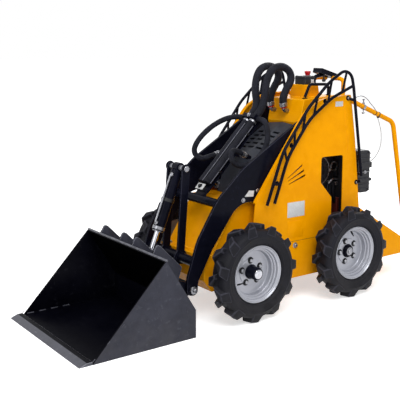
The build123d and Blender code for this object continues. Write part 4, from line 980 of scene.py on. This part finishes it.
# Control box: its seal and screws, a blank tag and the battery switch
BOX_BACK, BOX_FRONT, BOX_TOP, BOX_FOOT, BOX_HALF = -330, -262, 1139, 1094, 42
SWITCH_X, SWITCH_RIBS = -316, 14
seal = [block((BOX_BACK - 2, -BOX_HALF - 2, BOX_TOP - 15), (BOX_FRONT + 2, BOX_HALF + 2, BOX_TOP - 12), 0.8)]
seal += [bar((x, y, BOX_TOP - 3), (x, y, BOX_TOP + 1.2), 3.4, 16, 0.5)
         for x in (BOX_BACK + 8, BOX_FRONT - 8) for y in (8 - BOX_HALF, BOX_HALF - 8)]
piece("box_seal", seal, BLACK, "chassis")
tag = block((BOX_BACK + 7, BOX_HALF - 0.2, BOX_FOOT + 8), (BOX_BACK + 27, BOX_HALF + 1.0, BOX_TOP - 18), 0.3)
piece("blank_tag", tag, PALE, "chassis")
switch = lathe([(0, 0.3), (11.4, 0.3), (12.2, 1.6), (12.6, 8), (16.4, 19), (16.6, 23), (15, 25.4), (10, 26.2),
                (0, 26.3)], (SWITCH_X, 0, BOX_TOP), Z, 40)
piece("battery_switch_dressed", switch, RED, "chassis", ["battery_switch"])
ribs = []
for index in range(SWITCH_RIBS):
    turn = 2 * pi * index / SWITCH_RIBS
    ribs.append(bar((SWITCH_X + 12.4 * cos(turn), 12.4 * sin(turn), BOX_TOP + 7),
                    (SWITCH_X + 16.2 * cos(turn), 16.2 * sin(turn), BOX_TOP + 19), 1.2, 8, 0.3))
piece("switch_ribs", ribs, RED, "chassis")
piece("switch_ring", ring((SWITCH_X, 0, BOX_TOP), Z, 14.2, 17.4, 2.2), ZINC, "chassis")

# lever bar: its end cap, the round knob that hangs from it and the bent tubes that it leans on
BAR_TILT = radians(16)
BAR_MIDDLE, BAR_REACH = Vector((-445, 0, 1150)), 59
bar_way = Vector((cos(BAR_TILT), 0, sin(BAR_TILT)))
at_end = Matrix.Translation(BAR_MIDDLE - bar_way * BAR_REACH) @ Matrix.Rotation(-BAR_TILT, 4, "Y")
piece("lever_bar_cap", moved(block((-2.4, -33, -11.5), (1.0, 33, 11.5), 0.8), at_end), ZINC, "chassis")
knob = lathe([(0, 0), (7, 0.6), (10.4, 4), (11, 9), (8.4, 14.6), (4, 17), (0, 17.4)], (-418, 20, 1104), Z, 32)
neck = bar((-418, 20, 1119), (-418, 20, 1152), 4, 16)
piece("round_knob", [knob, neck], PLASTIC, "chassis")
TUBE_Y = 118
bent_tube = tube([*bend((-396, TUBE_Y, 1024), (-470, TUBE_Y, 1024), (-470, TUBE_Y, 1070), 0.55),
                  *bend((-470, TUBE_Y, 1080), (-470, TUBE_Y, 1124), (-478, 24, 1124), 0.5)], 12, 20)
piece("bent_tubes", on_both_sides(bent_tube), YELLOW, "chassis")
tube_foot = block((-402, TUBE_Y - 16, 1008), (-394, TUBE_Y + 11, 1039), 1.2)
piece("hoop_feet", on_both_sides(tube_foot), YELLOW, "chassis")

# collars at the feet of the grab handle, ferrules of the loops' sleeves and the console's bolts
handle_feet = [ring((x, 96, z), Z, 8.2, 14, 4) for x, z in ((-212, 1025), (-380, 1038.6))]
piece("handle_feet", handle_feet, BLACK, "chassis")
FERRULE = [(13, 0), (20.6, 0), (21.4, 1), (21.4, 20), (20.2, 21.4), (13, 21.4)]
SLEEVE_RUN = Vector((9.8, 0, 35.4)).normalized()
ferrules, tips = [], []
for route in LOOP_ROUTES.values():
    start = Vector(route[0])
    ferrules.append(lathe(FERRULE, start - SLEEVE_RUN * 2, SLEEVE_RUN, 36, True))
    tips.append(sleeve(start - SLEEVE_RUN * 9, SLEEVE_RUN, 12.4, 17.4, 6))
piece("sleeve_ferrules", ferrules, ZINC, "chassis")
piece("red_collars", tips, RED, "chassis")
console_bolts = [bolt((x, side * 130.2, 900), (0, side, 0), 13) for side in (1, -1) for x in (-360, -180)]
piece("console_bolts", console_bolts, ZINC, "chassis")


# Side panels: blank plates, creases, seams, bolts and the brackets of the guards
PANEL_FACE, GUARD_Y = 250, 274
plates = [block((-84, PANEL_FACE - 0.4, 445), (31, PANEL_FACE + 0.8, 522), 0.3),
          block((-338, PANEL_FACE - 0.4, 990), (-284, PANEL_FACE + 0.8, 1016), 0.3)]
piece("blank_plates", plates, PALE, "chassis")
raised = block((-78, PANEL_FACE - 0.4, 338), (26, PANEL_FACE + 1.0, 425), 0.4)
piece("bare_plates", on_both_sides(raised), YELLOW, "chassis")
crease = bar((-352, PANEL_FACE - 1.6, 1000), (-386, PANEL_FACE - 1.6, 716), 2.6, 12, 0.4)
piece("panel_creases", on_both_sides(crease), YELLOW, "chassis")
panel_seam = block((-479, PANEL_FACE - 0.6, 317.8), (249, PANEL_FACE + 0.15, 319.4))
piece("panel_seams", on_both_sides(panel_seam), PLASTIC, "chassis")
GUARD_STUDS = [(102, 629), (13, 811), (-209, 1021)]
PANEL_BOLTS = [
    # x, z and width across the flats
    (-24, 297, 17), (-452, 297, 17), (206, 297, 17), (-454, 579, 13), (-373, 1031, 13),
    *[(x, z, 10) for x, z in GUARD_STUDS],
]
side_bolts = [bolt((x, PANEL_FACE, z), Y, across) for x, z, across in PANEL_BOLTS]
piece("side_bolts", on_both_sides(side_bolts), ZINC, "chassis")
brackets = []
for (x, z), (out_x, out_z) in (((-373, 1031), (-404, 1018)), ((-454, 579), (-464, 588))):
    brackets.append(bar((x, PANEL_FACE, z), (out_x, GUARD_Y, out_z), 7.5, 18, 1.0))
    brackets.append(ring((x, PANEL_FACE, z), Y, 5, 13, 2.6))
brackets += [ring((x, PANEL_FACE, z), Y, 5, 12, 2.0) for x, z in GUARD_STUDS]
piece("guard_brackets", on_both_sides(brackets), BLACK, "chassis")

# nose and grille: bolts, and the oil cooler's dark fins close under the slots
nose_bolts = [bolt((472, side * 150, 305), Z, 15) for side in (1, -1)]
nose_bolts += [bolt((500, side * 150, 250), X, 15) for side in (1, -1)]
piece("nose_bolts", nose_bolts, ZINC, "chassis")
GRILLE_BACK, GRILLE_HIGH, GRILLE_FALL, GRILLE_CROWN, GRILLE_HALF = -144, 899, 0.6288, 14, 140
grille_bolts = []
for x in (-122, 96):
    for y in (122, -122):
        z = GRILLE_HIGH - GRILLE_FALL * (x - GRILLE_BACK) - GRILLE_CROWN * abs(y) / GRILLE_HALF
        grille_bolts.append(bolt((x, y, z), (0.53, 0.09 if y > 0 else -0.09, 0.84), 11))
piece("grille_bolts", grille_bolts, ZINC, "chassis")
FIN_COUNT, FIN_PITCH = 28, 8.5
core = [slab([(-132, 862), (112, 706), (112, 676), (-132, 832)], -118, 118, 1.0)]
for fin in range(FIN_COUNT):
    y = (fin - (FIN_COUNT - 1) / 2) * FIN_PITCH
    core.append(slab([(-131, 867), (111, 711), (111, 704), (-131, 860)], y - 0.6, y + 0.6))
for x, z in ((-120, 878), (96, 740)):
    core += [block((x - 8, side * 112 - 6, z - 34), (x + 8, side * 112 + 6, z - 6), 0.6) for side in (1, -1)]
piece("cooler_core", core, ENGINE_BLACK, "chassis")

# rear step: raised tread on its floor
tread = []
for row in range(12):
    for column in range(9):
        turn = Matrix.Rotation(radians(45 if (row + column) % 2 else -45), 4, "Z")
        place = Matrix.Translation((-930 + row * 38, -208 + column * 52, 130.8)) @ turn
        tread.append(moved(block((-13, -3.4, -1), (13, 3.4, 1), 0.8), place))
piece("step_tread", tread, YELLOW, "chassis")

# rails: the clamp with its stud and wire, the cable's ties and the feet
RAIL_Y, RAIL_RADIUS = 231.7, 13
RAIL_TOP, RAIL_RUN = (-409, 1018), (-341, -134)
RAIL_DOWN = Vector((RAIL_RUN[0], 0, RAIL_RUN[1])).normalized()
CLAMP_X = -511


def rail_ring(x, outer, thick):
    """A sleeve round the rail's straight fall."""
    share = (x - RAIL_TOP[0]) / RAIL_RUN[0]
    place = Vector((x, RAIL_Y, RAIL_TOP[1] + share * RAIL_RUN[1]))
    return sleeve(place - RAIL_DOWN * thick / 2, RAIL_DOWN, RAIL_RADIUS, outer, thick)


clamp = [rail_ring(CLAMP_X, 15.4, 14),
         block((CLAMP_X - 8, RAIL_Y - 3, 984), (CLAMP_X + 8, RAIL_Y + 3, 1002), 1.0)]
piece("rail_clamp", clamp, ZINC, "chassis")
stud = [bar((CLAMP_X, RAIL_Y, 952), (CLAMP_X, RAIL_Y, 1022), 3.4, 14, 0.5),
        bolt((CLAMP_X, RAIL_Y, 950), -Z, 13),
        bar((CLAMP_X - 8, RAIL_Y, 1016), (CLAMP_X + 8, RAIL_Y, 1016), 3, 12, 0.6)]
piece("rail_stud", stud, ZINC, "chassis")
wire = tube([*bend((-432, RAIL_Y + 4, 1022), (-490, RAIL_Y + 6, 1052), (-548, RAIL_Y + 6, 1006), 0.8, 8),
             *bend((-552, RAIL_Y + 6, 1000), (-585, RAIL_Y + 8, 972), (-600, RAIL_Y + 10, 952), 0.6)],
            2.4, 10)
piece("rail_wire", wire, ZINC, "chassis")
ties = [rail_ring(-628, 15.0, 6), rail_ring(-602, 14.6, 4),
        block((-634, RAIL_Y - 4, 912), (-622, RAIL_Y + 4, 924), 1.0)]
piece("rail_ties", ties, PLASTIC, "chassis")
rail_foot = bar((-912, RAIL_Y, 131), (-912, RAIL_Y, 136), 20, 32, 1.0)
piece("rail_feet", on_both_sides(rail_foot), YELLOW, "chassis")


# Engine and muffler
CRANKCASE_TOP = 481


def engine_paint(face):
    """The crankcase below the cylinder block is red-brown."""
    return int(face.calc_center_median().z < CRANKCASE_TOP)


softened("engine", 4.0, ENGINE_BLACK, more=(CRANKCASE_RED,), paint=engine_paint)
FAN, FAN_Y, FAN_BLADES = Vector((-292, 0, 640)), 138, 18
shroud = [ring((FAN.x, 120, FAN.z), Y, 60, 92, 5), ring((FAN.x, FAN_Y, FAN.z), Y, 30, 45, 4)]
for index in range(FAN_BLADES):
    turn = 2 * pi * index / FAN_BLADES
    inner = FAN + Vector((50 * cos(turn), FAN_Y - 6, 50 * sin(turn)))
    outer = FAN + Vector((72 * cos(turn + 0.14), FAN_Y - 7, 72 * sin(turn + 0.14)))
    shroud.append(bar(inner, outer, 2.2, 8, 0.4))
shroud += [block((-180, 98, z), (10, 110, z + 5), 1.2) for z in range(496, 602, 15)]
shroud += [block((x, 96, 486), (x + 8, 116, 560), 1.4) for x in (-415, -398, -381)]
piece("engine_shroud", shroud, ENGINE_BLACK, "chassis")

# bright small parts: the fan's ring and bolts, a bent pipe with its nut and flange, bolts and brackets
bright = [
    ring((FAN.x, 125, FAN.z), Y, 76, 82, 2.4, 56),
    *[bolt((FAN.x + 86 * cos(turn), 125, FAN.z + 86 * sin(turn)), Y, 10)
      for turn in (0.6, 1.9, 3.2, 4.4, 5.5)],
    tube(bend((-330, 106, 530), (-330, 127, 534), (-262, 128, 548), 0.7, 8), 9, 22),
    bar((-268, 128, 547), (-250, 128, 550), 12, 6, 1.0),
    bar((-330, 104, 530), (-330, 112, 531), 17, 28, 1.0),
    *[bolt((x, 104, 470), Y, 13) for x in (-380, -300, -220, -140, -60)],
    ring((-412, 120, 653), Y, 19, 27, 6, 36),
    tube(bend((-452, 122, 575), (-400, 126, 590), (-378, 120, 560), 0.6, 8), 5, 14),
    block((-440, 104, 548), (-424, 126, 566), 2.0),
    block((-400, 104, 566), (-372, 124, 576), 2.0),
]
piece("engine_bright", bright, ZINC, "chassis")
engine_hose = tube(bend((-420, 112, 556), (-400, 128, 500), (-440, 112, 440), 0.8, 10), 9, 20)
piece("engine_hose", engine_hose, RUBBER, "chassis")
shield = [
    block((-447, -196, 345), (-443, 196, 745), 1.0),
    *[block((-452, -184, z), (-446, 184, z + 14), 2.0) for z in (400, 480, 560, 640, 700)],
    block((-444, 60, 360), (-424, 100, 470), 2.0),
]
piece("heat_shield", shield, ENGINE_BLACK, "chassis")
lower = [
    lathe([(0, 0), (26, 0), (28, 3), (28, 22), (25, 26), (0, 27)], (-300, 104, 410), Y, 36),
    bar((-214, 104, 400), (-214, 118, 400), 12, 24, 1.0),
    block((-400, 100, 352), (-180, 112, 366), 2.0),
    block((-443, -100, 345), (-427, 136, 478), 2.0),
]
piece("crankcase_parts", lower, CRANKCASE_RED, "chassis")

# muffler: pressed seams and screws, a bright band and the tail pipe
seams = [block((-602, 66, z), (-504, 216, z + 3), 1.2) for z in (528, 548, 694, 716)]
seams += [bolt((x, 212, z), Y, 9) for x in (-588, -518) for z in (520, 724)]
piece("muffler_seams", seams, ENGINE_BLACK, "chassis")
band = [block((-607, 59, 619.5), (-499, 221, 621.5), 0.6), bolt((-553, 220, 620), Y, 11)]
piece("muffler_band", band, ZINC, "chassis")
tail = lathe([(9, 0), (13, 0), (13, 26), (12, 28), (9, 28)], (-600, 150, 690), (-1, 0, 0.2), 32, True)
piece("muffler_tail", tail, ENGINE_BLACK, "chassis")


# Bands, pipes and couplers on the hose carrier
WAY = CARRIER_RUN.normalized()
UP = Vector((-WAY.z, 0, WAY.x))
BETWEEN_BUNDLES = Y * -22.5
along_carrier = WAY.to_track_quat("X", "Z").to_matrix().to_4x4()
bands = [sleeve(CARRIER + WAY * 30 + Y * y, WAY, 20.2, 21.8, 9) for y in BUNDLE_WIDTHS]
piece("sleeve_bands", bands, ZINC, "lift_arm")
piece("collar_bolt", bolt(CARRIER + WAY * 12 + UP * 28 + BETWEEN_BUNDLES, UP, 13), ZINC, "lift_arm")
pipes = []
for across, up in ((BETWEEN_BUNDLES, 16), (Y * 28, 0)):
    start, end = (CARRIER + WAY * along + across + UP * up for along in (60, 440))
    pipes.append(tube([start, start.lerp(end, 0.5), end], 3, 14))
piece("steel_pipes", pipes, STEEL, "lift_arm")
saddles = []
for along in (110, 360):
    place = Matrix.Translation(CARRIER + WAY * along - UP * 4) @ along_carrier
    saddles.append(moved(block((-5, 16, -8), (5, 33, 8), 1.4), place))
piece("pipe_saddles", saddles, PLASTIC, "lift_arm")
nuts = []
for coupler in SIDE_ROUTES.values():
    start = Vector((175, coupler[-1][1], 750))
    way = (Vector(coupler[-1]) - start).normalized()
    nuts.append(bar(start + way * 18, start + way * 32, 16, 6, 1.0))
    nuts.append(sleeve(start + way * 38, way, 13.2, 15, 9, 30))
piece("coupler_nuts", nuts, ZINC, "lift_arm")
at_clamp = Matrix.Translation(CARRIER + WAY * 470) @ along_carrier
piece("clamp_plate", moved(block((-17, -52, 4), (17, 8, 7), 0.8), at_clamp), PALE, "lift_arm")
piece("clamp_bolt", moved(bolt((0, -22, 7), Z, 15), at_clamp), PLASTIC, "lift_arm")
